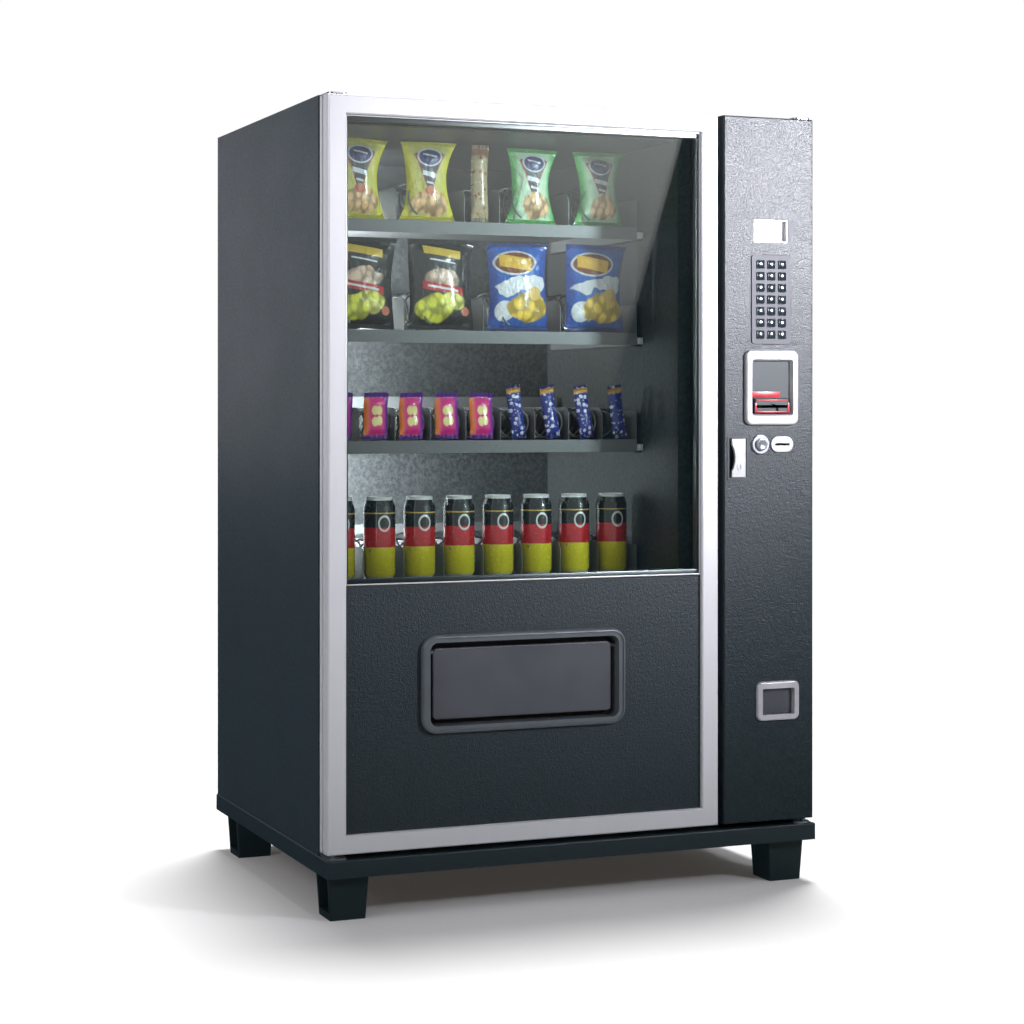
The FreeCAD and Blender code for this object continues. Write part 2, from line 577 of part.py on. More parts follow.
def coin_return_button():
    button = cylinder(BUTTON_X, FRONTMOST, BUTTON_Z, BUTTON_R, 21.0, Y_AXIS)
    button = soften(button, 1.8, lambda c: abs(c.y - FRONTMOST) < 0.1)
    dish = Part.makeSphere(30.0, V(BUTTON_X, FRONTMOST - 28.6, BUTTON_Z))
    return button.cut(dish)


def coin_mechanism():
    """Coin changer on the back of the door, with the chute from the slot and the one to the cup."""
    body = box(882, 1018, 12, 92, 470, 830)
    chute = box(962, 1008, 12, 50, 830, 940).cut(box(964, 1006, 11, 48, 832, 938))
    drop = box(952, 998, 20, 60, CUP_OPENING[3] + 4, 470).cut(box(954, 996, 22, 58, CUP_OPENING[3], 480))
    lever = box(925, 944, 26, 40, 830, 922)
    cassette = box(890, 1010, 6, 12, 500, 800)
    return fused(body, chute, drop, lever, cassette)


def lock_housing():
    """Recessed cup of the lock: its left third is the finger pocket beside the handle."""
    x0, x1, z0, z1 = LOCK
    flange = slab(x0, x1, z0, z1, -1.5, -0.2, 4.0)
    cup = slab(*grown(LOCK, -3.4), -0.2, 24.0, 2.6)
    pocket = slab(*grown(LOCK, -4.6), -3, 22.0, 2.0)
    pin_hole = cylinder(LOCK_PIN_X, LOCK_PIN_Y, z0 + 1, LOCK_PIN_R + PIN_CLEARANCE, z1 - z0 - 2, Z_AXIS)
    spindle = cylinder((x0 + x1) / 2 + 4, 24.0, (z0 + z1) / 2, 9.0, 20.0, Y_AXIS)
    cam = box((x0 + x1) / 2 - 8, (x0 + x1) / 2 + 12, 44.0, 48.0, (z0 + z1) / 2 - 42, (z0 + z1) / 2 + 9)
    return fused(flange, cup, spindle, cam).cut(pocket).cut(pin_hole)


def lock_handle():
    """Pull handle, waisted in the middle, that swings out on an upright pin near its right edge."""
    _, _, z0, z1 = grown(LOCK, -5.2)
    left, right, waist = 868.5, LOCK_PIN_X + 3.0, 8.0
    front, back = LOCK_PIN_Y - 3.0, LOCK_PIN_Y + 3.0
    middle = V(left + waist, front, (z0 + z1) / 2)
    arc = Part.Arc(V(left, front, z1 - 12), middle, V(left, front, z0 + 12)).toShape()
    points = [V(left, front, z0 + 12), V(left, front, z0), V(right, front, z0), V(right, front, z1),
              V(left, front, z1), V(left, front, z1 - 12)]
    sides = [Part.LineSegment(a, b).toShape() for a, b in zip(points, points[1:])]
    paddle = Part.Face(Part.Wire([arc] + sides)).extrude(V(0, back - front, 0))
    paddle = soften(paddle, 1.2, lambda c: abs(c.y - front) < 0.05)
    pin = cylinder(LOCK_PIN_X, LOCK_PIN_Y, LOCK[2] + 3.8, LOCK_PIN_R, LOCK[3] - LOCK[2] - 7.6, Z_AXIS)
    barrel = cylinder(888.0, front - 1.5, z0 + 22, 8.0, 3.0, Y_AXIS)
    barrel = barrel.cut(box(887.3, 888.7, front - 2, front + 1, z0 + 17.5, z0 + 26.5))
    return fused(paddle, pin, barrel)




def coin_cup():
    """Cast surround and the cup behind it, open at the top for the coins."""
    front = -8.0
    ring = slab(*CUP, front, -0.2, 13.0)
    ring = soften(ring, 4.5, lambda c: abs(c.y - front) < 0.1)
    wall = 1.8
    cup = slab(*grown(CUP_OPENING, wall), -0.2, CUP_DEPTH + wall, 3.5)
    cup = fused(ring, cup).cut(slab(*CUP_OPENING, front - 1, CUP_DEPTH, 3.0))
    coins_in = box(955, 995, 24, 56, CUP_OPENING[3] - 1, CUP_OPENING[3] + 3)
    pin_hole = cylinder(CUP_OPENING[0] - 1, CUP_PIN_Y, CUP_PIN_Z, CUP_PIN_R + PIN_CLEARANCE,
                        CUP_OPENING[1] - CUP_OPENING[0] + 2, X_AXIS)
    return cup.cut(coins_in).cut(pin_hole)


def coin_cup_flap():
    x0, x1, z0, z1 = grown(CUP_OPENING, -0.8)
    plate = slab(x0, x1, z0, z1 - 1.2, 5.0, 8.0, 2.0)
    plate = soften(plate, 1.0, lambda c: abs(c.y - 5.0) < 0.05)
    length = CUP_OPENING[1] - CUP_OPENING[0] + 1.6
    pin = cylinder(CUP_OPENING[0] - 0.8, CUP_PIN_Y, CUP_PIN_Z, CUP_PIN_R, length, X_AXIS)
    return fused(plate, pin)


# ---------------------------------------------------------------- trays and spiral drives
def lane_edges(shares):
    return [TRAY_LEFT + share * (TRAY_RIGHT - TRAY_LEFT) for share in shares]


def lanes(number):
    """Centre and spiral radius of each lane of a tray."""
    _, shares, radius, _ = TRAYS[number]
    edges = lane_edges(shares)
    for left, right in zip(edges, edges[1:]):
        yield (left + right) / 2, (radius if right - left > NARROW_LANE else min(radius, SMALL_SPIRAL_R))


def spiral_centre(number, radius):
    """Height of a spiral's axis, which leaves 2 mm between the wire and the tray's floor."""
    return TRAYS[number][0] + 2.0 + radius + WIRE_R


def tray(number):
    """Tray of riveted sheets: floor, front lip, two sides, motor plate, and dividers between the lanes."""
    floor, shares, _, _ = TRAYS[number]
    t, seam = SHEET, TRAY_SEAM
    bottom, side_top = floor - TRAY_LIP, floor + TRAY_SIDE
    inner_left, inner_right = TRAY_LEFT + t + seam, TRAY_RIGHT - t - seam
    behind_lip = TRAY_FRONT + t + seam
    sheets = [
        box(inner_left, inner_right, behind_lip, TRAY_BACK, floor - t, floor),
        box(TRAY_LEFT, TRAY_RIGHT, TRAY_FRONT, TRAY_FRONT + t, bottom, floor),
        box(TRAY_LEFT, TRAY_LEFT + t, behind_lip, TRAY_BACK, bottom, side_top),
        box(TRAY_RIGHT - t, TRAY_RIGHT, behind_lip, TRAY_BACK, bottom, side_top),
    ]
    shafts = []
    for x, radius in lanes(number):
        shafts.append(cylinder(x, MOTOR_PLATE_Y - 2, spiral_centre(number, radius), SHAFT_R + 1.5, 6, Y_AXIS))
    plate = box(inner_left, inner_right, MOTOR_PLATE_Y, MOTOR_PLATE_Y + t, floor + seam, floor + 92)
    sheets.append(plate.cut(Part.Compound(shafts)))
    dividers = []
    for x in lane_edges(shares)[1:-1]:
        top = floor + DIVIDER_HEIGHT
        blade = box(x - 0.6, x + 0.6, TRAY_FRONT + 8, MOTOR_PLATE_Y - 0.5, floor + 0.1, top)
        dividers.append(soften(blade, 18.0, lambda c: c.y < TRAY_FRONT + 9 and c.z > top - 0.1))
    return Part.Compound(sheets + dividers)


def spiral(radius, pitch, length):
    """Wire spiral along +Z from z 0, of straight mitred runs with a hexagonal section."""
    turn = 2 * math.pi / SPIRAL_STEPS
    points = []
    for n in range(int(length / pitch * SPIRAL_STEPS) + 1):
        points.append(V(radius * math.cos(n * turn), radius * math.sin(n * turn), n * pitch / SPIRAL_STEPS))
    path = Part.makePolygon(points)
    along = (points[1] - points[0]).normalize()
    across = along.cross(V(1, 0, 0)).normalize()
    section = []
    for n in range(7):
        spoke = FreeCAD.Rotation(along, 60 * n).multVec(across)
        section.append(points[0] + spoke * WIRE_R)
    return path.makePipeShell([Part.makePolygon(section)], True, False, 1)


def lane_drive(number, x, radius):
    """Drive disc with its shaft, and gear motor of one lane."""
    centre = spiral_centre(number, radius)
    disc = cylinder(x, DISC_FRONT, centre, radius * 0.92, 4.0, Y_AXIS)
    shaft = cylinder(x, DISC_FRONT + 4.0, centre, SHAFT_R, 18.0, Y_AXIS)
    motor = box(x - 24, x + 24, MOTOR_PLATE_Y + SHEET, TRAY_BACK - 1, centre - 17, centre + 17)
    bore = cylinder(x, MOTOR_PLATE_Y, centre, SHAFT_R + PIN_CLEARANCE, 16.0, Y_AXIS)
    return fused(disc, shaft), motor.cut(bore)


def spiral_drives(number):
    """The discs and gear motors of a tray, without the disc that turning_spiral() makes."""
    solids = []
    for lane, (x, radius) in enumerate(lanes(number)):
        disc, motor = lane_drive(number, x, radius)
        solids += [motor] if lane == TURNING_LANE[number] else [disc, motor]
    return Part.Compound(solids)


def turning_spiral(number):
    """Wire spiral and drive disc of the lane that can be turned."""
    x, radius = list(lanes(number))[TURNING_LANE[number]]
    wire = spiral(radius, TRAYS[number][3], DISC_FRONT - TRAY_FRONT - SPIRAL_SETBACK)
    wire.rotate(V(0, 0, 0), X_AXIS, 90)
    wire.translate(V(x, DISC_FRONT - WIRE_R - 0.05, spiral_centre(number, radius)))
    disc, _ = lane_drive(number, x, radius)
    return Part.Compound([wire, disc])


# ---------------------------------------------------------------- export
def pieces():
    made = {
        "base_frame": base_frame(),
        "legs": legs(),
        "cabinet_shell": cabinet_shell(),
        "rear_panel": rear_panel(),
        "inner_liner": inner_liner(),
        "door_hinges": door_hinges(),
        "cooling_unit": cooling_unit(),
        "condenser_fan": condenser_fan(),
        "door_frame": door_frame(),
        "door_glass": door_glass(),
        "lower_panel": lower_panel(),
        "delivery_bezel": delivery_bezel(),
        "delivery_flap": delivery_flap(),
        "delivery_bin": delivery_bin(),
        "door_gasket": door_gasket(),
        "payment_panel": payment_panel(),
        "display_window": display_window(),
        "keypad_plate": keypad_plate(),
        "bill_bezel": bill_bezel(),
        "bill_validator": bill_validator(),
        "coin_trim": coin_trim(),
        "coin_return_button": coin_return_button(),
        "coin_mechanism": coin_mechanism(),
        "lock_housing": lock_housing(),
        "lock_handle": lock_handle(),
        "coin_cup": coin_cup(),
        "coin_cup_flap": coin_cup_flap(),
    }
    for name, x, z in key_centres():
        made["key_" + name] = key(x, z)
    for number in TRAYS:
        made[f"tray_{number}"] = tray(number)
        made[f"spiral_drives_{number}"] = spiral_drives(number)
        made[f"spiral_{number}"] = turning_spiral(number)
    return made


def export():
    os.makedirs("parts", exist_ok=True)
    for name, shape in pieces().items():
        shape.translate(-ORIGIN)
        shape.exportStep(os.path.join("parts", name + ".step"))


export()
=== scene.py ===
"""Looks of the snack vending machine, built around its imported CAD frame. Everything is in metres."""

import json
import math
import random

import bmesh
import bpy
from mathutils import Matrix, Vector


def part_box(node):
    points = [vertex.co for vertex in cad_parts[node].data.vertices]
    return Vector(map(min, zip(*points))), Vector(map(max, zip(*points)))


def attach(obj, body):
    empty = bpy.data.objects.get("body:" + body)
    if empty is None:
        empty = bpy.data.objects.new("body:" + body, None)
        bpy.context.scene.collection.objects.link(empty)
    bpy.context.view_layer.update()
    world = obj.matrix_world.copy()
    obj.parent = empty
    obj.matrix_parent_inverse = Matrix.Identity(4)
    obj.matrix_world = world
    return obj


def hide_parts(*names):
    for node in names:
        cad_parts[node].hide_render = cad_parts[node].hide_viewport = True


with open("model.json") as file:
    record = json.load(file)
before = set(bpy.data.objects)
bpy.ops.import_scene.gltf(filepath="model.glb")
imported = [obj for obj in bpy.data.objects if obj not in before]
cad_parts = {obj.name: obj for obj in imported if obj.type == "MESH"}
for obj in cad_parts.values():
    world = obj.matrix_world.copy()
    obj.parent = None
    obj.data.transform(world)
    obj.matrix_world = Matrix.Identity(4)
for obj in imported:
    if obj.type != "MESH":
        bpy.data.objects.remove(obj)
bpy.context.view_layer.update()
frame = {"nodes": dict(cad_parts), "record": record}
nodes = frame["nodes"]

MM = 0.001
TRAY_LIP = 26 * MM
WIRE_R = 2.2 * MM
TRAY_NUMBERS = (1, 2, 3, 4)
# for each tray: lane edges as shares of its width, spiral radius, pitch, and the lane whose spiral turns
LANES = {
    1: ([0.0, 0.226, 0.44, 0.552, 0.778, 1.0], 42 * MM, 58 * MM, 2),
    2: ([n / 4 for n in range(5)], 42 * MM, 58 * MM, 3),
    3: ([n / 9 for n in range(10)], 30 * MM, 38 * MM, 8),
    4: ([n / 8 for n in range(9)], 35 * MM, 71 * MM, 7),
}
NARROW_LANE = 90 * MM  # a lane up to this width has a spiral of at most the next radius
NARROW_SPIRAL_R = 35 * MM
# from the tray's front to the spirals' front ends, to the turning one's, and to their discs
SPIRAL_FRONT = 14 * MM
TURNING_FRONT = 74 * MM
SPIRAL_BACK = 417 * MM
SPIRAL_STEPS = 28
WIRE_CLEARANCE = 2 * MM


# ---------------------------------------------------------------- procedural materials
class Field:
    """A number or colour that varies over a surface. Arithmetic on it adds math nodes to its material."""

    def __init__(self, tree, socket):
        self.tree = tree
        self.socket = socket

    def apply(self, operation, *others):
        node = self.tree.nodes.new("ShaderNodeMath")
        node.operation = operation
        for place, value in enumerate((self, *others)):
            feed(self.tree, node.inputs[place], value)
        return Field(self.tree, node.outputs[0])

    def __add__(self, other):
        return self.apply("ADD", other)

    def __sub__(self, other):
        return self.apply("SUBTRACT", other)

    def __mul__(self, other):
        return self.apply("MULTIPLY", other)

    def __truediv__(self, other):
        return self.apply("DIVIDE", other)

    def step(self, low, high):
        """0 below low, 1 above high, and smooth between them."""
        node = self.tree.nodes.new("ShaderNodeMapRange")
        node.interpolation_type = "SMOOTHSTEP"
        feed(self.tree, node.inputs["Value"], self)
        node.inputs["From Min"].default_value = low
        node.inputs["From Max"].default_value = high
        return Field(self.tree, node.outputs["Result"])


def feed(tree, socket, value):
    """Puts a field, a number or a colour on a socket, with full alpha where the socket has one."""
    if isinstance(value, Field):
        tree.links.new(value.socket, socket)
    elif hasattr(socket.default_value, "__len__") and len(value) == 3 and len(socket.default_value) == 4:
        socket.default_value = (*value, 1.0)
    else:
        socket.default_value = value


class Paint:
    """A material under construction around one Principled shader."""

    def __init__(self, name, **values):
        self.material = bpy.data.materials.new(name)
        self.material.use_nodes = True
        self.tree = self.material.node_tree
        self.shader = self.tree.nodes["Principled BSDF"]
        self.place = None
        for socket, value in values.items():
            self.set(socket.replace("_", " "), value)

    def set(self, socket, value):
        feed(self.tree, self.shader.inputs[socket], value)

    def position(self, stretch=(1.0, 1.0, 1.0)):
        """Object position, scaled on each axis, so that a stretched texture makes streaks."""
        if self.place is None:
            self.place = self.tree.nodes.new("ShaderNodeTexCoord").outputs["Object"]
        mapping = self.tree.nodes.new("ShaderNodeMapping")
        mapping.inputs["Scale"].default_value = stretch
        self.tree.links.new(self.place, mapping.inputs["Vector"])
        return mapping.outputs["Vector"]

    def noise(self, scale, detail=2.0, stretch=(1.0, 1.0, 1.0), at=None):
        node = self.tree.nodes.new("ShaderNodeTexNoise")
        node.inputs["Scale"].default_value = scale
        node.inputs["Detail"].default_value = detail
        self.tree.links.new(at or self.position(stretch), node.inputs["Vector"])
        return Field(self.tree, node.outputs["Fac"])

    def cells(self, scale, at):
        """Distance to the middle of the nearest of many scattered cells."""
        node = self.tree.nodes.new("ShaderNodeTexVoronoi")
        node.inputs["Scale"].default_value = scale
        self.tree.links.new(at, node.inputs["Vector"])
        return Field(self.tree, node.outputs["Distance"])

    def mix(self, first, second, share):
        """Colour that goes from first to second as share goes from 0 to 1."""
        node = self.tree.nodes.new("ShaderNodeMix")
        node.data_type = "RGBA"
        feed(self.tree, node.inputs[0], share)
        feed(self.tree, node.inputs[6], first)
        feed(self.tree, node.inputs[7], second)
        return Field(self.tree, node.outputs[2])

    def bump(self, height, depth, strength=1.0):
        node = self.tree.nodes.new("ShaderNodeBump")
        node.inputs["Strength"].default_value = strength
        node.inputs["Distance"].default_value = depth
        feed(self.tree, node.inputs["Height"], height)
        self.tree.links.new(node.outputs["Normal"], self.shader.inputs["Normal"])

    def art(self):
        """Shares across and up a printed face, and the vector 'art' in the mesh that holds them."""
        node = self.tree.nodes.new("ShaderNodeAttribute")
        node.attribute_name = "art"
        split = self.tree.nodes.new("ShaderNodeSeparateXYZ")
        self.tree.links.new(node.outputs["Vector"], split.inputs[0])
        across, up = [Field(self.tree, split.outputs[n]) for n in range(2)]
        return across, up, node.outputs["Vector"]


def shade(colour, factor):
    """The colour made darker or lighter by a factor."""
    return tuple(min(1.0, c * factor) for c in colour)


def powder_coat(name, colour, roughness, grain=420.0, depth=0.00035, contrast=0.35):
    """Wrinkle powder coat: a fine rough skin with lighter flecks."""
    paint = Paint(name)
    skin = paint.noise(grain, 3.0)
    flecks = paint.noise(grain * 0.42, 2.0)
    mottle = skin * 0.5 + flecks * 0.5
    dark, light = shade(colour, 1 - contrast), shade(colour, 1 + contrast)
    paint.set("Base Color", paint.mix(dark, light, mottle.step(0.36, 0.64)))
    wear = paint.noise(6.0, 4.0)
    paint.set("Roughness", skin.step(0.3, 0.7) * 0.14 + wear * 0.08 + (roughness - 0.1))
    paint.bump(skin + flecks * 0.6, depth)
    return paint.material


def drawn_metal(name, colour, roughness, along, grain=900.0, metallic=1.0, streaks=0.08):
    """Metal with fine streaks along one axis, given as 0, 1 or 2."""
    paint = Paint(name, Metallic=metallic)
    stretch = [1.0, 1.0, 1.0]
    stretch[along] = 0.02
    lines = paint.noise(grain, 2.0, stretch)
    haze = paint.noise(9.0, 3.0)
    paint.set("Base Color", paint.mix(shade(colour, 1 - streaks), colour, lines))
    paint.set("Roughness", lines * 0.12 + haze * 0.1 + (roughness - 0.1))
    paint.bump(lines, 0.00004, 0.6)
    return paint.material


def plated(name, colour, roughness, metallic):
    """Plated or lacquered metal with a faint orange peel and worn haze."""
    paint = Paint(name, Metallic=metallic)
    peel = paint.noise(260.0, 2.0)
    haze = paint.noise(30.0, 4.0)
    paint.set("Base Color", paint.mix(shade(colour, 0.86), colour, haze.step(0.3, 0.6)))
    paint.set("Roughness", haze * 0.16 + (roughness - 0.06))
    paint.bump(peel, 0.00005, 0.5)
    return paint.material


def moulded(name, colour, roughness, grain=1400.0, depth=0.00008):
    """Moulded plastic with a fine spark texture and slight colour drift."""
    paint = Paint(name)
    spark = paint.noise(grain, 2.0)
    drift = paint.noise(14.0, 3.0)
    paint.set("Base Color", paint.mix(shade(colour, 0.8), shade(colour, 1.2), drift))
    paint.set("Roughness", spark * 0.14 + drift * 0.08 + (roughness - 0.1))
    paint.bump(spark, depth, 0.6)
    return paint.material


def rubber(name):
    """Black rubber with paler dust in places."""
    paint = Paint(name)
    dust = paint.noise(60.0, 5.0)
    paint.set("Base Color", paint.mix((0.012, 0.012, 0.013), (0.035, 0.035, 0.037), dust.step(0.4, 0.7)))
    paint.set("Roughness", dust * 0.2 + 0.6)
    paint.bump(paint.noise(700.0, 2.0), 0.00012)
    return paint.material


def pane_glass(name):
    """Clear float glass: it shows what is behind it and mirrors more towards grazing angles."""
    paint = Paint(name)
    tree = paint.tree
    tree.nodes.remove(paint.shader)
    clear = tree.nodes.new("ShaderNodeBsdfTransparent")
    clear.inputs["Color"].default_value = (0.93, 0.965, 0.955, 1.0)
    gloss = tree.nodes.new("ShaderNodeBsdfGlossy")
    gloss.inputs["Roughness"].default_value = 0.015
    edge = tree.nodes.new("ShaderNodeFresnel")
    edge.inputs["IOR"].default_value = 1.5
    mixer = tree.nodes.new("ShaderNodeMixShader")
    tree.links.new(edge.outputs[0], mixer.inputs[0])
    tree.links.new(clear.outputs[0], mixer.inputs[1])
    tree.links.new(gloss.outputs[0], mixer.inputs[2])
    tree.links.new(mixer.outputs[0], tree.nodes["Material Output"].inputs["Surface"])
    return paint.material


def glowing(name, colour, strength, body_colour):
    """A lit lens: plastic that also gives off its own light, a little unevenly."""
    paint = Paint(name, Roughness=0.3, Emission_Strength=strength)
    uneven = paint.noise(45.0, 2.0)
    paint.set("Base Color", paint.mix(shade(body_colour, 0.7), body_colour, uneven))
    paint.set("Emission Color", paint.mix(shade(colour, 0.6), colour, uneven.step(0.3, 0.6)))
    return paint.material


def domed_keys(name, colour):
    """Polished caps: each one's face is bent like a shallow dome, about the middle of its own key."""
    paint = Paint(name, Metallic=1.0)
    low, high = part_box("key_a")
    pitch = (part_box("key_b")[0].x - low.x, low.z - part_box("key_d")[0].z)
    split = paint.tree.nodes.new("ShaderNodeSeparateXYZ")
    paint.tree.links.new(paint.position(), split.inputs[0])
    dome = None
    for axis, centre, step in ((0, (low.x + high.x) / 2, pitch[0]), (2, (low.z + high.z) / 2, pitch[1])):
        share = (Field(paint.tree, split.outputs[axis]) - centre) / step
        off = share - share.apply("ROUND")
        dome = off * off if dome is None else dome + off * off
    haze = paint.noise(200.0, 3.0)
    paint.set("Base Color", paint.mix(shade(colour, 0.85), colour, haze))
    paint.set("Roughness", haze * 0.12 + 0.1)
    paint.bump(dome * -1, 0.02)
    return paint.material


FINISH = {
    "cabinet_paint": powder_coat("cabinet_powder_coat", (0.022, 0.035, 0.042), 0.42, contrast=0.12),
    "base_paint": powder_coat("base_satin_paint", (0.014, 0.026, 0.031), 0.4, 700.0, 0.0001, 0.1),
    "leg_plastic": moulded("leg_moulded_plastic", (0.01, 0.023, 0.026), 0.5),
    "liner_paint": powder_coat("liner_stucco_paint", (0.04, 0.042, 0.048), 0.45, 260.0, 0.0008, 0.45),
    "hinge_steel": drawn_metal("hinge_zinc_plate", (0.55, 0.56, 0.58), 0.35, 2),
    "cooling_metal": drawn_metal("cooling_unit_metal", (0.42, 0.43, 0.44), 0.4, 0),
    "fan_plastic": moulded("fan_moulded_plastic", (0.02, 0.02, 0.022), 0.4),
    "frame_aluminium": drawn_metal("frame_anodised_aluminium", (0.67, 0.675, 0.7), 0.36, 2, 700.0,
                                   metallic=0.35, streaks=0.05),
    "door_glass": pane_glass("door_float_glass"),
    # painted shade: the cabinet's powder coat made darker here, to offset the lamps that light this front
    # face
    "panel_paint": powder_coat("lower_panel_coat_painted_shade", (0.011, 0.021, 0.026), 0.42, 330.0, 0.0009, 0.2),
    "bezel_plastic": moulded("delivery_bezel_plastic", (0.08, 0.092, 0.104), 0.36, 900.0, 0.00006),
    "flap_plastic": moulded("flap_plastic", (0.06, 0.064, 0.076), 0.34, 700.0, 0.00006),
    "bin_steel": powder_coat("bin_satin_paint", (0.03, 0.032, 0.035), 0.4, 800.0, 0.0001, 0.2),
    "gasket_rubber": rubber("gasket_rubber"),
    # painted shade: the cabinet's powder coat made darker here, to offset the lamps that light the column's
    # front
    "payment_paint": powder_coat("payment_coat_painted_shade", (0.009, 0.018, 0.022), 0.36, 330.0, 0.0008, 0.2),
    "display_plastic": plated("display_silver_plastic", (0.6, 0.6, 0.62), 0.3, 0.2),
    "keypad_metal": drawn_metal("keypad_plate_metal", (0.06, 0.063, 0.08), 0.5, 2, 700.0, 0.0),
    "key_metal": domed_keys("key_satin_chrome", (0.85, 0.86, 0.89)),
    "silver_plastic": plated("silver_lacquered_plastic", (0.42, 0.42, 0.45), 0.34, 0.25),
    "validator_plastic": moulded("validator_black_plastic", (0.012, 0.022, 0.025), 0.45),
    "coin_plate_metal": plated("coin_plate_metal", (0.36, 0.37, 0.4), 0.34, 0.6),
    "button_metal": plated("button_metal", (0.6, 0.61, 0.64), 0.16, 0.8),
    "mechanism_plastic": moulded("coin_mechanism_plastic", (0.03, 0.031, 0.034), 0.45),
    "lock_cup_metal": powder_coat("lock_cup_black", (0.02, 0.03, 0.033), 0.4, 900.0, 0.0001, 0.2),
    "handle_metal": plated("handle_satin_nickel", (0.42, 0.42, 0.43), 0.34, 0.3),
    "tray_sheet": powder_coat("tray_satin_paint", (0.13, 0.13, 0.145), 0.4, 700.0, 0.0001, 0.12),
    "spiral_wire": drawn_metal("spiral_zinc_wire", (0.3, 0.31, 0.32), 0.35, 1),
}
for entry in frame["record"]["subparts"]:
    piece_material = FINISH[entry["material_slot"]]
    mesh = nodes[entry["node"]].data
    mesh.materials.clear()
    mesh.materials.append(piece_material)


# ---------------------------------------------------------------- mesh makers
def add_piece(name, data, body, material):
    """Puts a mesh or curve in the scene as a piece that rides on a body."""
    piece = bpy.data.objects.new(name, data)
    bpy.context.scene.collection.objects.link(piece)
    data.materials.append(material)
    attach(piece, body)
    return piece


def mesh_of(name, points, faces):
    """Mesh with smooth shading."""
    data = bpy.data.meshes.new(name)
    data.from_pydata(points, [], faces)
    data.polygons.foreach_set("use_smooth", [True] * len(data.polygons))
    data.update()
    return data


class Shape:
    """Points and faces gathered from several solids that make up one piece."""

    def __init__(self):
        self.points = []
        self.faces = []
        self.art = []

    def add(self, points, faces, art=None):
        """Takes in one solid. art holds each point's shares across and up its printed face."""
        start = len(self.points)
        self.points += [tuple(p) for p in points]
        self.faces += [tuple(start + n for n in face) for face in faces]
        self.art += art or [(0.0, 0.0, 0.0)] * len(points)

    def block(self, low, high, chamfer=0.0008):
        """Box with chamfered edges."""
        maker = bmesh.new()
        bmesh.ops.create_cube(maker, size=1.0)
        size = Vector(high) - Vector(low)
        middle = (Vector(high) + Vector(low)) / 2
        for vert in maker.verts:
            vert.co = Vector([vert.co[n] * size[n] + middle[n] for n in range(3)])
        offset = min(chamfer, min(size) * 0.4)
        bmesh.ops.bevel(maker, geom=maker.edges[:], offset=offset, segments=2, affect="EDGES", profile=0.6)
        maker.verts.ensure_lookup_table()
        self.add([v.co[:] for v in maker.verts], [[v.index for v in f.verts] for f in maker.faces])
        maker.free()

    def lathe(self, centre, axis, profile, steps=32, hexagon=False):
        """Solid of revolution, closed at both ends. profile is a list of (radius, distance along axis)."""
        turn = Vector((0, 0, 1)).rotation_difference(Vector(axis)).to_matrix()
        count = 6 if hexagon else steps
        points = []
        for radius, height in profile:
            for n in range(count):
                angle = 2 * math.pi * n / count
                local = Vector((radius * math.cos(angle), radius * math.sin(angle), height))
                points.append(Vector(centre) + turn @ local)
        faces = []
        for ring in range(len(profile) - 1):
            for n in range(count):
                a, b = ring * count + n, ring * count + (n + 1) % count
                faces.append((a, b, b + count, a + count))
        faces.append(tuple(range(count))[::-1])
        faces.append(tuple((len(profile) - 1) * count + n for n in range(count)))
        self.add(points, faces)

    def screw(self, centre, axis, radius=0.0035):
        """Pan head with a round dimple for its recess."""
        head = [(1.0, 0.0), (1.0, 0.0006), (0.82, 0.0016), (0.45, 0.002), (0.34, 0.0012), (0.02, 0.001)]
        self.lathe(centre, axis, [(radius * share, height) for share, height in head], 20)

    def bolt(self, centre, axis, radius):
        """Hexagon head on a round washer."""
        self.lathe(centre, axis, [(radius * 1.5, 0.0), (radius * 1.5, 0.0014), (radius * 1.05, 0.0016)], 28)
        seat = Vector(centre) + Vector(axis) * 0.0016
        self.lathe(seat, axis, [(radius, 0.0), (radius, 0.0048), (radius * 0.82, 0.0056)], hexagon=True)

    def piece(self, name, body, material, slot=None):
        """Makes one piece of everything gathered, with edges over 35 degrees left sharp."""
        data = mesh_of(name, self.points, self.faces)
        if any(self.art):
            store = data.attributes.new("art", "FLOAT_VECTOR", "POINT")
            store.data.foreach_set("vector", [value for point in self.art for value in point])
        data.set_sharp_from_angle(angle=math.radians(35))
        return add_piece(name, data, body, material)


def wire(name, paths, body):
    """Zinc-plated round wires along lists of points, as one piece."""
    curve = bpy.data.curves.new(name, "CURVE")
    curve.dimensions = "3D"
    curve.bevel_depth = WIRE_R
    curve.bevel_resolution = 2
    curve.use_fill_caps = True
    for path in paths:
        spline = curve.splines.new("POLY")
        spline.points.add(len(path) - 1)
        for point, place in zip(spline.points, path):
            point.co = (*place, 1.0)
        spline.use_smooth = True
    return add_piece(name, curve, body, FINISH["spiral_wire"])


# ---------------------------------------------------------------- trays, spirals
def tray_place(number):
    """Left edge, right edge, front and floor height of a tray."""
    low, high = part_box(f"tray_{number}")
    return low.x, high.x, low.y, low.z + TRAY_LIP


def lanes(number):
    """Centre, width and spiral radius of each lane."""
    shares, radius, _, _ = LANES[number]
    left, right, _, _ = tray_place(number)
    for first, second in zip(shares, shares[1:]):
        width = (second - first) * (right - left)
        middle = left + (first + second) / 2 * (right - left)
        yield middle, width, (radius if width > NARROW_LANE else min(radius, NARROW_SPIRAL_R))


def spiral_height(floor, radius):
    """Height of a spiral's axis: its wire stands just clear of the tray's floor."""
    return floor + WIRE_CLEARANCE + radius + WIRE_R


def helix(x, front, back, centre, radius, pitch):
    """Points of a wire spiral from its front end to its back end."""
    count = int((back - front) / pitch * SPIRAL_STEPS)
    points = []
    for left in range(count, -1, -1):
        angle = -math.pi / 2 + 2 * math.pi * left / SPIRAL_STEPS
        points.append((x + radius * math.cos(angle), back - left * pitch / SPIRAL_STEPS,
                       centre + radius * math.sin(angle)))
    return points


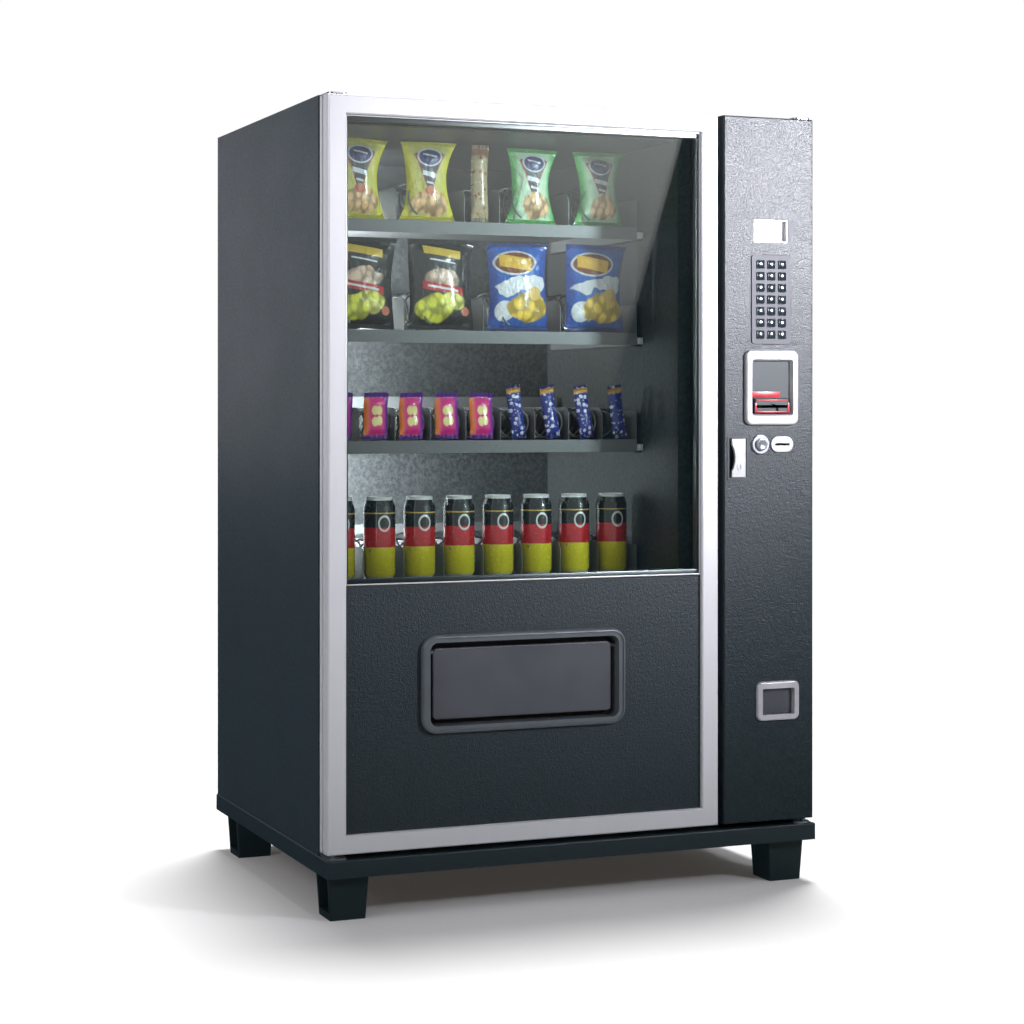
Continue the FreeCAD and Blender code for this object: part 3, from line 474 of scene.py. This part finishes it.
def drive_disc(centre, radius):
    """Disc at a spiral's back end, with its hub and shaft towards the motor plate."""
    rim = radius * 0.92
    disc = Shape()
    disc.lathe(centre, (0, 1, 0), [(rim - 0.001, 0), (rim, 0.001), (rim, 0.003), (rim - 0.001, 0.004),
                                   (0.012, 0.004), (0.010, 0.007), (0.005, 0.008), (0.005, 0.022)], 40)
    return disc


def build_spirals():
    """Each tray's still spirals as one piece, and the one that turns with its disc."""
    for number in TRAY_NUMBERS:
        _, _, front, floor = tray_place(number)
        _, _, pitch, turning = LANES[number]
        back = front + SPIRAL_BACK
        paths = []
        for lane, (x, _, radius) in enumerate(lanes(number)):
            start = front + (TURNING_FRONT if lane == turning else SPIRAL_FRONT)
            paths.append(helix(x, start, back - WIRE_R, spiral_height(floor, radius), radius, pitch))
        turning_path = paths.pop(turning)
        wire(f"spiral_wires_{number}", paths, f"tray_{number}")
        piece = wire(f"turning_wire_{number}", [turning_path], f"spiral_{number}")
        x, _, radius = list(lanes(number))[turning]
        disc = drive_disc((x, back, spiral_height(floor, radius)), radius)
        disc.piece(f"turning_disc_{number}", f"spiral_{number}", FINISH["mechanism_plastic"],
                   "mechanism_plastic")
        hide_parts(f"spiral_{number}")


build_spirals()


# ---------------------------------------------------------------- stock: packs, bars and cans
PACK_GRID = (14, 22)  # cells across and up a pack's sheet
PACK_CRIMP = 0.011
CAN_R, CAN_HEIGHT, CAN_STEPS = 0.033, 0.168, 40
# (share of the radius, share of the height) up the can's wall and over its lid
CAN_PROFILE = [(0.4, 0.03), (0.66, 0.0), (0.78, 0.0), (0.92, 0.03), (1.0, 0.07), (1.0, 0.5), (1.0, 0.86),
               (0.97, 0.885), (0.86, 0.955), (0.82, 0.975), (0.84, 0.985), (0.84, 1.0), (0.8, 1.0),
               (0.79, 0.965), (0.7, 0.965), (0.01, 0.968)]


def pillow_pack(shape, centre, size, waist, lean, seed):
    """Sealed film pack: two crowned sheets that meet in crimped seams, with sides drawn in by the waist.

    The seed sets how the folds, the sway and the bow of this one pack fall."""
    width, height, depth = size
    across, up = PACK_GRID
    rng = random.Random(seed)
    drift = [rng.uniform(-1, 1) for _ in range(6)]
    points, art = [], []
    for side in (-1, 1):
        for j in range(up + 1):
            v = j / up
            for i in range(across + 1):
                u = i / across
                pull = 1 - waist * math.sin(math.pi * v) ** 0.8
                edge = min(v, 1 - v) * height
                body = min(1.0, max(0.0, (edge - PACK_CRIMP) / (height * 0.16)))
                crown = math.sin(math.pi * u) ** 0.55 * math.sin(body * math.pi / 2) ** 0.9
                fold = 0.06 * math.sin(9 * u + 5 * v + drift[0]) + 0.05 * math.sin(15 * v - 7 * u + drift[1])
                bulge = depth / 2 * crown * (1 + fold * (1 - 0.5 * body))
                ripple = 0.0008 * math.sin(math.pi * 11 * u) * (1 - body)
                sway = 0.012 * width * math.sin(6 * v + drift[2])
                x = (u - 0.5) * width * pull + sway
                z = v * height + 0.01 * height * math.sin(2.4 * u + drift[3]) * v
                y = side * bulge + ripple + 0.006 * math.sin(4 * v + drift[4]) * v
                points.append((x, y, z))
                art.append((u, v, 0.5 + 0.5 * drift[5]))
    turn = Matrix.Rotation(lean, 3, "Y")
    points = [Vector(centre) + turn @ Vector(p) for p in points]
    row = across + 1
    sheet = row * (up + 1)
    faces = []
    for j in range(up):
        for i in range(across):
            a = j * row + i
            faces.append((a, a + 1, a + row + 1, a + row))
            faces.append((sheet + a, sheet + a + row, sheet + a + row + 1, sheet + a + 1))
    rim = list(range(row)) + [j * row + across for j in range(1, up + 1)]
    rim += [up * row + i for i in range(across - 1, -1, -1)] + [j * row for j in range(up - 1, 0, -1)]
    for a, b in zip(rim, rim[1:] + rim[:1]):
        faces.append((b, a, sheet + a, sheet + b))
    shape.add(points, faces, art)


def can(shape, centre):
    """Drinks can: domed foot, straight body, necked top with a seamed rim and a recessed lid."""
    points, art = [], []
    for share, up in CAN_PROFILE:
        for n in range(CAN_STEPS):
            angle = 2 * math.pi * n / CAN_STEPS
            points.append((centre[0] + share * CAN_R * math.cos(angle),
                           centre[1] + share * CAN_R * math.sin(angle), centre[2] + up * CAN_HEIGHT))
            art.append((n / CAN_STEPS, up, share))
    faces = []
    for ring in range(len(CAN_PROFILE) - 1):
        for n in range(CAN_STEPS):
            a, b = ring * CAN_STEPS + n, ring * CAN_STEPS + (n + 1) % CAN_STEPS
            faces.append((a, b, b + CAN_STEPS, a + CAN_STEPS))
    faces.append(tuple(range(CAN_STEPS))[::-1])
    faces.append(tuple((len(CAN_PROFILE) - 1) * CAN_STEPS + n for n in range(CAN_STEPS)))
    shape.add(points, faces, art)


def ellipse(across, up, x, z, wide, tall, soft):
    """Share that is 1 inside an ellipse on the printed face and 0 outside."""
    dx = (across - x) / wide
    dz = (up - z) / tall
    far = (dx * dx + dz * dz).apply("SQRT")
    return (far * -1 + 1).step(-soft, soft)


def snack_print(name, ground, edge, parts):
    """Generic printed film. parts are (shape, x, z, half width, half height, colour) in shares of the face,
    from the bottom layer up; the shape is oval, swirl, taper, band or crisps."""
    paint = Paint(name, Coat_Weight=0.5, Coat_Roughness=0.12)
    across, up, vector = paint.art()
    colour = paint.mix(ground, edge, (across - 0.5).apply("ABSOLUTE").step(0.3, 0.48))
    wobble = paint.noise(3.0, 2.0, at=vector) - 0.5
    for shape, x, z, wide, tall, tint in parts:
        if shape == "oval":
            inside = ellipse(across, up, x, z, wide, tall, 0.05)
        elif shape == "swirl":
            inside = ellipse(across + wobble * 0.5, up + wobble * 0.3, x, z, wide, tall, 0.06)
        elif shape == "taper":
            # a plate with straight top whose sides lean in towards its foot
            lean = (up - (z + tall)) * (wide * 0.42 / tall) + wide
            inside = ((across - x).apply("ABSOLUTE") - lean).step(-0.004, 0.004) * -1 + 1
            below_top = up.step(z + tall, z + tall + 0.01) * -1 + 1
            inside = inside * up.step(z - tall, z - tall + 0.01) * below_top
        elif shape == "band":
            level = up + (across - x) * 0.12
            below_top = level.step(z + tall, z + tall + 0.008) * -1 + 1
            inside = level.step(z - tall, z - tall + 0.008) * below_top
            inside = inside * ((across - x).apply("ABSOLUTE").step(wide, wide + 0.01) * -1 + 1)
        else:
            inside = ellipse(across + wobble * 0.25, up + wobble * 0.2, x, z, wide, tall, 0.08)
            heap = paint.cells(8.0, vector)
            tint = paint.mix(shade(tint, 1.25), shade(tint, 0.5), heap.step(0.3, 0.7))
        colour = paint.mix(colour, tint, inside)
    seam = up.step(0.945, 0.95) + (up.step(0.05, 0.055) * -1 + 1)
    colour = paint.mix(colour, edge, seam)
    paint.set("Base Color", colour)
    creases = paint.noise(5.0, 3.0, at=vector)
    paint.set("Roughness", creases * 0.22 + 0.2)
    ribs = (up * 260.0).apply("SINE") * seam
    paint.bump(creases.step(0.35, 0.65) + ribs * 0.15, 0.003)
    return paint.material


def band_print(name, low, middle, high):
    """Can print in three bands with a plain white hoop and a gold line; the rim and lid stay bare metal."""
    paint = Paint(name, Metallic=0.15, Coat_Weight=0.8, Coat_Roughness=0.08)
    around, up, _ = paint.art()
    colour = paint.mix(low, middle, up.step(0.386, 0.394))
    colour = paint.mix(colour, high, up.step(0.626, 0.634))
    front = (around - 0.75).apply("ABSOLUTE") * 2.0
    outside_hole = ellipse(front, up, 0.0, 0.68, 0.1, 0.075, 0.08) * -1 + 1
    hoop = ellipse(front, up, 0.0, 0.68, 0.13, 0.1, 0.08) * outside_hole
    colour = paint.mix(colour, (0.8, 0.8, 0.8), hoop)
    colour = paint.mix(colour, (0.62, 0.42, 0.1), up.step(0.795, 0.8) * (up.step(0.81, 0.815) * -1 + 1))
    bare = (0.75, 0.76, 0.78)
    colour = paint.mix(colour, bare, up.step(0.957, 0.962))
    colour = paint.mix(colour, bare, up.step(0.03, 0.035) * -1 + 1)
    paint.set("Base Color", colour)
    paint.set("Roughness", paint.noise(180.0, 2.0) * 0.12 + 0.2)
    paint.bump(paint.noise(240.0, 2.0), 0.00004, 0.5)
    return paint.material


def carton_print(name):
    """Small sweet pack: orange to magenta to violet across, with a pale four-lobed sign."""
    paint = Paint(name, Coat_Weight=0.4, Coat_Roughness=0.15)
    across, up, vector = paint.art()
    colour = paint.mix((0.85, 0.22, 0.05), (0.62, 0.03, 0.22), across.step(0.05, 0.3))
    colour = paint.mix(colour, (0.18, 0.03, 0.3), across.step(0.72, 0.95))
    colour = paint.mix(colour, (0.14, 0.03, 0.32), up.step(0.86, 0.93) + (up.step(0.06, 0.12) * -1 + 1))
    for x, z in ((0.42, 0.38), (0.42, 0.62), (0.6, 0.4), (0.6, 0.62)):
        colour = paint.mix(colour, (0.78, 0.68, 0.3), ellipse(across, up, x, z, 0.13, 0.1, 0.2))
    sparks = paint.cells(9.0, vector).step(0.04, 0.1) * -1 + 1
    colour = paint.mix(colour, (0.85, 0.7, 0.75), sparks)
    paint.set("Base Color", colour)
    paint.set("Roughness", paint.noise(4.0, 2.0, at=vector) * 0.2 + 0.22)
    paint.bump(paint.noise(6.0, 3.0, at=vector), 0.001)
    return paint.material


def speckled_print(name, ground, spot, second, tip, scale):
    """Slim pack: a ground with round spots in two colours and a coloured tip."""
    paint = Paint(name, Coat_Weight=0.4, Coat_Roughness=0.15)
    _, up, vector = paint.art()
    mapping = paint.tree.nodes.new("ShaderNodeMapping")
    mapping.inputs["Scale"].default_value = (1.0, 3.4, 1.0)
    paint.tree.links.new(vector, mapping.inputs["Vector"])
    at = mapping.outputs["Vector"]
    dots = paint.cells(scale, at).step(0.25, 0.38) * -1 + 1
    more = paint.cells(scale * 1.7, at).step(0.16, 0.26) * -1 + 1
    colour = paint.mix(paint.mix(ground, spot, dots), second, more)
    colour = paint.mix(colour, tip, up.step(0.84, 0.88) * (up.step(0.94, 0.96) * -1 + 1))
    paint.set("Base Color", colour)
    paint.set("Roughness", paint.noise(4.0, 2.0, at=vector) * 0.2 + 0.24)
    paint.bump(paint.noise(6.0, 3.0, at=vector), 0.001)
    return paint.material


NAVY, WHITE, PLATE = (0.02, 0.025, 0.16), (0.72, 0.74, 0.8), (0.06, 0.065, 0.09)
BADGE = [("oval", 0.5, 0.8, 0.27, 0.12, WHITE), ("oval", 0.5, 0.8, 0.235, 0.1, NAVY),
         ("band", 0.5, 0.82, 0.14, 0.012, WHITE), ("band", 0.5, 0.58, 0.17, 0.03, WHITE),
         ("band", 0.5, 0.47, 0.08, 0.015, WHITE)]
YELLOW_CRISPS = snack_print("print_yellow", (0.72, 0.68, 0.2), (0.85, 0.78, 0.03), [
    ("taper", 0.5, 0.6, 0.33, 0.24, (0.5, 0.14, 0.1)), ("taper", 0.5, 0.61, 0.29, 0.24, PLATE),
    ("crisps", 0.5, 0.22, 0.42, 0.17, (0.8, 0.5, 0.25)), ("oval", 0.5, 0.37, 0.13, 0.06, (0.62, 0.16, 0.09)),
    *BADGE])
GREEN_CRISPS = snack_print("print_green", (0.6, 0.82, 0.6), (0.08, 0.55, 0.1), [
    ("taper", 0.5, 0.6, 0.33, 0.24, (0.5, 0.14, 0.1)), ("taper", 0.5, 0.61, 0.29, 0.24, PLATE),
    ("crisps", 0.56, 0.24, 0.34, 0.17, (0.8, 0.52, 0.28)), *BADGE])
BLACK_CRISPS = snack_print("print_black", (0.018, 0.02, 0.024), (0.025, 0.026, 0.03), [
    ("band", 0.5, 0.85, 0.28, 0.045, (0.72, 0.5, 0.08)), ("band", 0.5, 0.75, 0.2, 0.008, WHITE),
    ("crisps", 0.5, 0.56, 0.3, 0.11, (0.62, 0.45, 0.36)),
    ("band", 0.5, 0.45, 0.32, 0.045, (0.5, 0.03, 0.035)),
    ("band", 0.5, 0.45, 0.24, 0.012, WHITE), ("crisps", 0.34, 0.22, 0.27, 0.16, (0.62, 0.62, 0.06)),
    ("crisps", 0.64, 0.3, 0.2, 0.11, (0.68, 0.66, 0.12)), ("oval", 0.85, 0.2, 0.07, 0.05, (0.5, 0.16, 0.1))])
BLUE_CRISPS = snack_print("print_blue", (0.02, 0.12, 0.48), (0.012, 0.06, 0.34), [
    ("swirl", 0.5, 0.5, 0.42, 0.07, WHITE), ("oval", 0.42, 0.77, 0.36, 0.14, WHITE),
    ("oval", 0.42, 0.77, 0.33, 0.12, (0.2, 0.05, 0.02)), ("band", 0.42, 0.77, 0.26, 0.07, (0.75, 0.45, 0.04)),
    ("swirl", 0.72, 0.52, 0.2, 0.12, WHITE), ("oval", 0.22, 0.22, 0.16, 0.12, WHITE),
    ("crisps", 0.6, 0.25, 0.36, 0.17, (0.78, 0.52, 0.06)),
    ("oval", 0.74, 0.42, 0.12, 0.08, (0.75, 0.5, 0.16))])
SLIM_PRINT = speckled_print("print_slim", (0.45, 0.36, 0.22), (0.3, 0.1, 0.04), (0.68, 0.64, 0.55),
                            (0.3, 0.12, 0.05), 3.4)
BAR_PRINT = speckled_print("print_bar", (0.02, 0.03, 0.22), (0.6, 0.62, 0.75), (0.5, 0.45, 0.6),
                           (0.55, 0.3, 0.06), 2.6)
SWEET_PRINT = carton_print("print_sweets")
CAN_PRINT = band_print("print_can", (0.85, 0.74, 0.04), (0.58, 0.02, 0.03), (0.014, 0.016, 0.02))

# pack width, height and depth, and print, for each lane from the left
PACKS = {
    1: [((0.125, 0.16, 0.045), YELLOW_CRISPS)] * 2 + [((0.038, 0.158, 0.026), SLIM_PRINT)]
       + [((0.118, 0.155, 0.045), GREEN_CRISPS)] * 2,
    2: [((0.148, 0.185, 0.048), BLACK_CRISPS)] * 2 + [((0.14, 0.182, 0.048), BLUE_CRISPS)] * 2,
    3: [((0.052, 0.095, 0.02), SWEET_PRINT)] * 5 + [((0.032, 0.112, 0.018), BAR_PRINT)] * 4,
}
PACK_FRONT = 0.008  # from the tray's front edge to a pack's front
CAN_AXIS = 0.036  # from the tray's front edge to a can's axis
NARROW_PACK = 0.06  # packs below this width have next to no waist


def pack_waist(number, width):
    """How far the sides draw in: the top tray's bags have the deepest waist."""
    if width < NARROW_PACK:
        return 0.02
    return 0.3 if number == 1 else 0.1


def build_stock():
    """One product at the front of every lane."""
    for number, packs in PACKS.items():
        _, _, front, floor = tray_place(number)
        for lane, ((x, _, _), (size, print_material)) in enumerate(zip(lanes(number), packs)):
            is_bar = print_material is BAR_PRINT
            lean = math.radians(-9 if is_bar else 1.5 - 0.9 * lane % 2)
            shift = 0.008 if is_bar else 0.0
            place = (x + shift, front + PACK_FRONT + size[2] / 2, floor + 0.003)
            pack = Shape()
            pillow_pack(pack, place, size, pack_waist(number, size[0]), lean, seed=100 * number + 10 * lane)
            pack.piece(f"stock_{number}_{lane + 1}", f"tray_{number}", print_material)
    _, _, front, floor = tray_place(4)
    for lane, (x, _, _) in enumerate(lanes(4)):
        drink = Shape()
        can(drink, (x, front + CAN_AXIS, floor + 0.002))
        drink.piece(f"stock_4_{lane + 1}", "tray_4", CAN_PRINT)


build_stock()


# ---------------------------------------------------------------- small pieces
BEAD_CHAMFER = 0.0006
LED_COLOUR = (1.0, 0.98, 0.93)
LOUVRES = 26
ANCHOR_X = 0.48
ANCHOR_Y = (-0.3335, 0.3205)
FOOT_TOP = 0.014  # upper side of the legs' foot plates


def build_glazing_bead():
    """Thin bead that holds the outer pane, just inside its edges."""
    low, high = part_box("door_glass")
    inset, wide = 0.0068, 0.0025
    near, far = low.y - 0.0022, low.y - 0.0002
    bottom, top = low.z + 0.001, high.z - inset
    bead = Shape()
    for z in (top - wide, bottom):
        bead.block((low.x + inset, near, z), (high.x - inset, far, z + wide), BEAD_CHAMFER)
    for x in (low.x + inset, high.x - inset - wide):
        bead.block((x, near, bottom + wide + 0.0001), (x + wide, far, top - wide - 0.0001), BEAD_CHAMFER)
    bead.piece("glazing_bead", "glass_door", FINISH["frame_aluminium"], "frame_aluminium")


def build_glass_spacer():
    """Spacer bars between the two panes."""
    low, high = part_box("door_glass")
    edge, thick, upright = 0.002, 0.010, 0.012
    near, far = low.y + 0.0042, high.y - 0.0042
    bottom, top = low.z + edge, high.z - 0.008
    spacer = Shape()
    for z in (bottom, top - thick):
        spacer.block((low.x + edge, near, z), (high.x - edge, far, z + thick), 0.001)
    for x in (low.x + edge, high.x - edge - upright):
        spacer.block((x, near, bottom + thick + 0.0002), (x + upright, far, top - thick - 0.0002), 0.001)
    spacer.piece("glass_spacer", "glass_door", FINISH["spiral_wire"], "spiral_wire")


def liner_wall():
    """Where the chamber's left wall stands beside the trays."""
    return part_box("tray_1")[0].x - 0.012


def build_interior_light():
    """Upright light strip on the left wall in front of the trays: a channel and its lit lens."""
    tray_low, tray_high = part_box("tray_1")
    bottom_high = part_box("tray_4")[1]
    x, y = liner_wall(), tray_low.y
    strip = Shape()
    strip.block((x, y - 0.146, bottom_high.z - 0.04), (x + 0.004, y - 0.122, tray_high.z + 0.045), 0.001)
    strip.piece("interior_light_base", "cabinet", FINISH["frame_aluminium"], "frame_aluminium")
    lens = Shape()
    lens.block((x + 0.0042, y - 0.143, bottom_high.z - 0.036),
               (x + 0.0088, y - 0.125, tray_high.z + 0.041), 0.002)
    lit = glowing("led_lens", LED_COLOUR, 4.0, LED_COLOUR)
    lens.piece("interior_light_lens", "cabinet", lit, "display_plastic")


def build_evaporator_cover():
    """Sheet below the trays with a row of raised louvres, in front of the evaporator."""
    tray_low, tray_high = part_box("tray_1")
    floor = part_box("tray_4")[0].z
    left, right, y = liner_wall(), tray_high.x + 0.008, tray_low.y + 0.215
    cover = Shape()
    cover.block((left + 0.004, y, floor - 0.262), (right, y + 0.0015, floor - 0.012), 0.0005)
    for n in range(LOUVRES):
        x = left + 0.03 + n * (right - left - 0.06) / (LOUVRES - 1)
        cover.block((x - 0.004, y - 0.004, floor - 0.235), (x + 0.004, y - 0.0002, floor - 0.04), 0.0015)
    cover.piece("evaporator_cover", "cabinet", FINISH["liner_paint"], "liner_paint")


def build_tray_catches():
    """Catch with a knob at the right front corner of the three upper trays, fixed to the cabinet."""
    knob = [(0.004, 0), (0.004, 0.003), (0.003, 0.006)]
    catches = Shape()
    for number in TRAY_NUMBERS[:3]:
        low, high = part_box(f"tray_{number}")
        front = low.y - 0.006
        catches.block((high.x + 0.0005, front, low.z + 0.002),
                      (high.x + 0.0122, low.y + 0.03, low.z + 0.016), 0.001)
        catches.lathe((high.x + 0.0055, front, low.z + 0.009), (0, -1, 0), knob, 20)
    catches.piece("tray_catches", "cabinet", FINISH["frame_aluminium"], "frame_aluminium")


def build_rear_screws():
    """Screws along all four edges of the rear cover."""
    low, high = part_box("rear_panel")
    edge, inner = 0.012, 0.27
    face = high.y - 0.0001
    screws = Shape()
    for x in (low.x + edge, low.x + inner, 0.0, high.x - inner, high.x - edge):
        for z in (low.z + edge, high.z - edge):
            screws.screw((x, face, z), (0, 1, 0))
    for z in (0.42, 0.72, 1.02, 1.32):
        for x in (low.x + edge, high.x - edge):
            screws.screw((x, face, z), (0, 1, 0))
    screws.piece("rear_screws", "cabinet", FINISH["hinge_steel"], "hinge_steel")


def build_foot_bolts():
    """Anchor bolts with their washers on the foot plates of the four legs."""
    bolts = Shape()
    for x in (-ANCHOR_X, ANCHOR_X):
        for y in ANCHOR_Y:
            bolts.bolt((x, y, FOOT_TOP), (0, 0, 1), 0.0075)
    bolts.piece("foot_bolts", "cabinet", FINISH["hinge_steel"], "hinge_steel")


def build_note_mouth():
    """The lit band and the lit rim of the note reader's mouth."""
    low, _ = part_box("bill_validator")
    bezel_low, bezel_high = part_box("bill_bezel")
    middle = (bezel_low.x + bezel_high.x) / 2
    red = glowing("note_light_red", (0.75, 0.05, 0.06), 0.55, (0.3, 0.01, 0.015))
    band = Shape()
    band_low, band_high = bezel_low.z + 0.057, bezel_low.z + 0.069
    band.block((middle - 0.043, low.y + 0.0062, band_low), (middle + 0.022, low.y + 0.0079, band_high))
    band.piece("note_light_band", "payment_door", red, "validator_plastic")
    rim = Shape()
    base = bezel_low.z + 0.0255
    near, far = low.y - 0.0012, low.y + 0.0004
    for x in (middle - 0.0385, middle + 0.0385):
        rim.block((x - 0.002, near, base), (x + 0.002, far, base + 0.02))
    for bottom, top in ((base - 0.0002, base + 0.003), (base + 0.0245, base + 0.027)):
        rim.block((middle - 0.036, near, bottom), (middle + 0.036, far, top))
    rim.piece("note_mouth_rim", "payment_door", red, "validator_plastic")


build_glazing_bead()
build_glass_spacer()
build_interior_light()
build_evaporator_cover()
build_tray_catches()
build_rear_screws()
build_foot_bolts()
build_note_mouth()


# ---------------------------------------------------------------- stage
AZIMUTH = math.radians(-22.396)
CAMERA = (-1.8356, -4.4905, 0.9925)
LENS = 78.78
SHIFT_UP = -0.1037
LILAC = (0.93, 0.92, 1.0)
WARM_WHITE = (1.0, 0.97, 0.95)
PLAIN = (1.0, 1.0, 1.0)
FLOOR_REACH = 60.0
CARD_Y = -4.0
# name, place, point aimed at, size, watts, colour, spread in degrees
LAMPS = [
    ("key_left", (-3.4, -1.6, 2.4), (-0.5, 0.0, 1.2), (1.2, 1.6), 7, LILAC, 70),
    ("side_sheen", (-1.5, 3.0, 1.5), (-0.53, 0.1, 1.2), (1.0, 1.4), 4.6, LILAC, 180),
    ("column_box", (1.6, -2.6, 1.72), (0.4, -0.4, 1.42), (0.34, 0.6), 17, LILAC, 60),
    ("frame_wash", (-1.2, -3.4, 3.2), (0.0, -0.4, 1.1), (1.6, 0.5), 3, PLAIN, 180),
    ("chamber_left", (-0.455, 0.1, 1.02), (-0.3, 0.34, 1.02), (0.02, 0.9), 60, WARM_WHITE, 180),
    ("chamber_front", (-0.12, -0.33, 1.1), (-0.12, 0.3, 1.1), (0.68, 0.86), 1.2, WARM_WHITE, 180),
]


def area_light(name, place, aim, size, power, colour, spread):
    """Rectangular lamp that points at a place and that the camera doesn't see."""
    data = bpy.data.lights.new(name, "AREA")
    data.shape = "RECTANGLE"
    data.size, data.size_y = size
    data.energy = power
    data.color = colour
    data.spread = math.radians(spread)
    lamp = bpy.data.objects.new(name, data)
    bpy.context.scene.collection.objects.link(lamp)
    lamp.location = place
    lamp.rotation_euler = (Vector(aim) - Vector(place)).to_track_quat("-Z", "Y").to_euler()
    lamp.visible_camera = False


def build_world():
    """White behind the machine, brighter overhead than at the horizon as light, dark teal in reflections."""
    world = bpy.data.worlds.new("studio")
    bpy.context.scene.world = world
    world.use_nodes = True
    tree = world.node_tree
    rays = tree.nodes.new("ShaderNodeLightPath")
    direction = tree.nodes.new("ShaderNodeSeparateXYZ")
    tree.links.new(tree.nodes.new("ShaderNodeTexCoord").outputs["Generated"], direction.inputs[0])
    height = Field(tree, direction.outputs[2])
    colour = height.step(0.1, 0.8) * 0.24 + 0.03
    for seen_by, shade_there in (("Is Glossy Ray", (0.035, 0.06, 0.075)), ("Is Camera Ray", PLAIN)):
        mixer = tree.nodes.new("ShaderNodeMix")
        mixer.data_type = "RGBA"
        tree.links.new(rays.outputs[seen_by], mixer.inputs[0])
        feed(tree, mixer.inputs[6], colour)
        feed(tree, mixer.inputs[7], shade_there)
        colour = Field(tree, mixer.outputs[2])
    feed(tree, tree.nodes["Background"].inputs["Color"], colour)


def build_floor():
    """White studio floor with a trace of its own warm light, so that shadows stay open."""
    paint = Paint("floor_white", Roughness=0.9)
    paint.set("Base Color", paint.mix((0.94, 0.94, 0.94), (0.97, 0.97, 0.97), paint.noise(2.0)))
    paint.set("Emission Color", (1.0, 0.86, 0.74))
    paint.set("Emission Strength", 0.04)
    reach = FLOOR_REACH
    corners = [(-reach, -reach, 0), (reach, -reach, 0), (reach, reach, 0), (-reach, reach, 0)]
    floor = bpy.data.objects.new("floor", mesh_of("floor", corners, [(0, 1, 2, 3)]))
    floor.data.materials.append(paint.material)
    bpy.context.scene.collection.objects.link(floor)
    floor.visible_glossy = False


def build_reflected_card():
    """Glowing card with a slanted right edge: it shows only as the pale haze across the glass."""
    paint = Paint("card_glow")
    tree = paint.tree
    tree.nodes.remove(paint.shader)
    glow = tree.nodes.new("ShaderNodeEmission")
    split = tree.nodes.new("ShaderNodeSeparateXYZ")
    tree.links.new(paint.position(), split.inputs[0])
    height = Field(tree, split.outputs[2])
    fade = height.step(0.85, 2.2) * (Field(tree, split.outputs[0]).step(0.3, 2.1) * 0.7 + 0.5)
    feed(tree, glow.inputs["Strength"], fade * 1.4)
    glow.inputs["Color"].default_value = (1.0, 0.98, 0.98, 1.0)
    tree.links.new(glow.outputs[0], tree.nodes["Material Output"].inputs["Surface"])
    outline = [(0.3, 0.8), (1.681, 0.8), (2.106, 2.2), (0.3, 2.2)]
    corners = [(x, CARD_Y, z) for x, z in outline]
    card = bpy.data.objects.new("reflected_card", mesh_of("reflected_card", corners, [(0, 1, 2, 3)]))
    card.data.materials.append(paint.material)
    bpy.context.scene.collection.objects.link(card)
    card.visible_camera = False
    card.visible_diffuse = False
    card.visible_shadow = False


def build_sun():
    """Soft light from above and a little behind, which makes the pool of shade under the machine."""
    data = bpy.data.lights.new("sun_above", "SUN")
    data.energy = 3.0
    data.angle = math.radians(17)
    sun = bpy.data.objects.new("sun_above", data)
    bpy.context.scene.collection.objects.link(sun)
    sun.rotation_euler = Vector((0.13, 0.22, 1.0)).to_track_quat("Z", "Y").to_euler()


def build_camera():
    """Camera at the photograph's place, level, with the machine framed by a vertical shift."""
    data = bpy.data.cameras.new("camera")
    data.lens = LENS
    data.sensor_width = 36.0
    data.shift_y = SHIFT_UP
    camera = bpy.data.objects.new("camera", data)
    bpy.context.scene.collection.objects.link(camera)
    camera.location = CAMERA
    camera.rotation_euler = (math.pi / 2, 0.0, AZIMUTH)
    bpy.context.scene.camera = camera
    bpy.context.scene.view_settings.view_transform = "Standard"


def build_stage():
    build_world()
    build_floor()
    build_reflected_card()
    for lamp in LAMPS:
        area_light(*lamp)
    build_sun()
    build_camera()


build_stage()
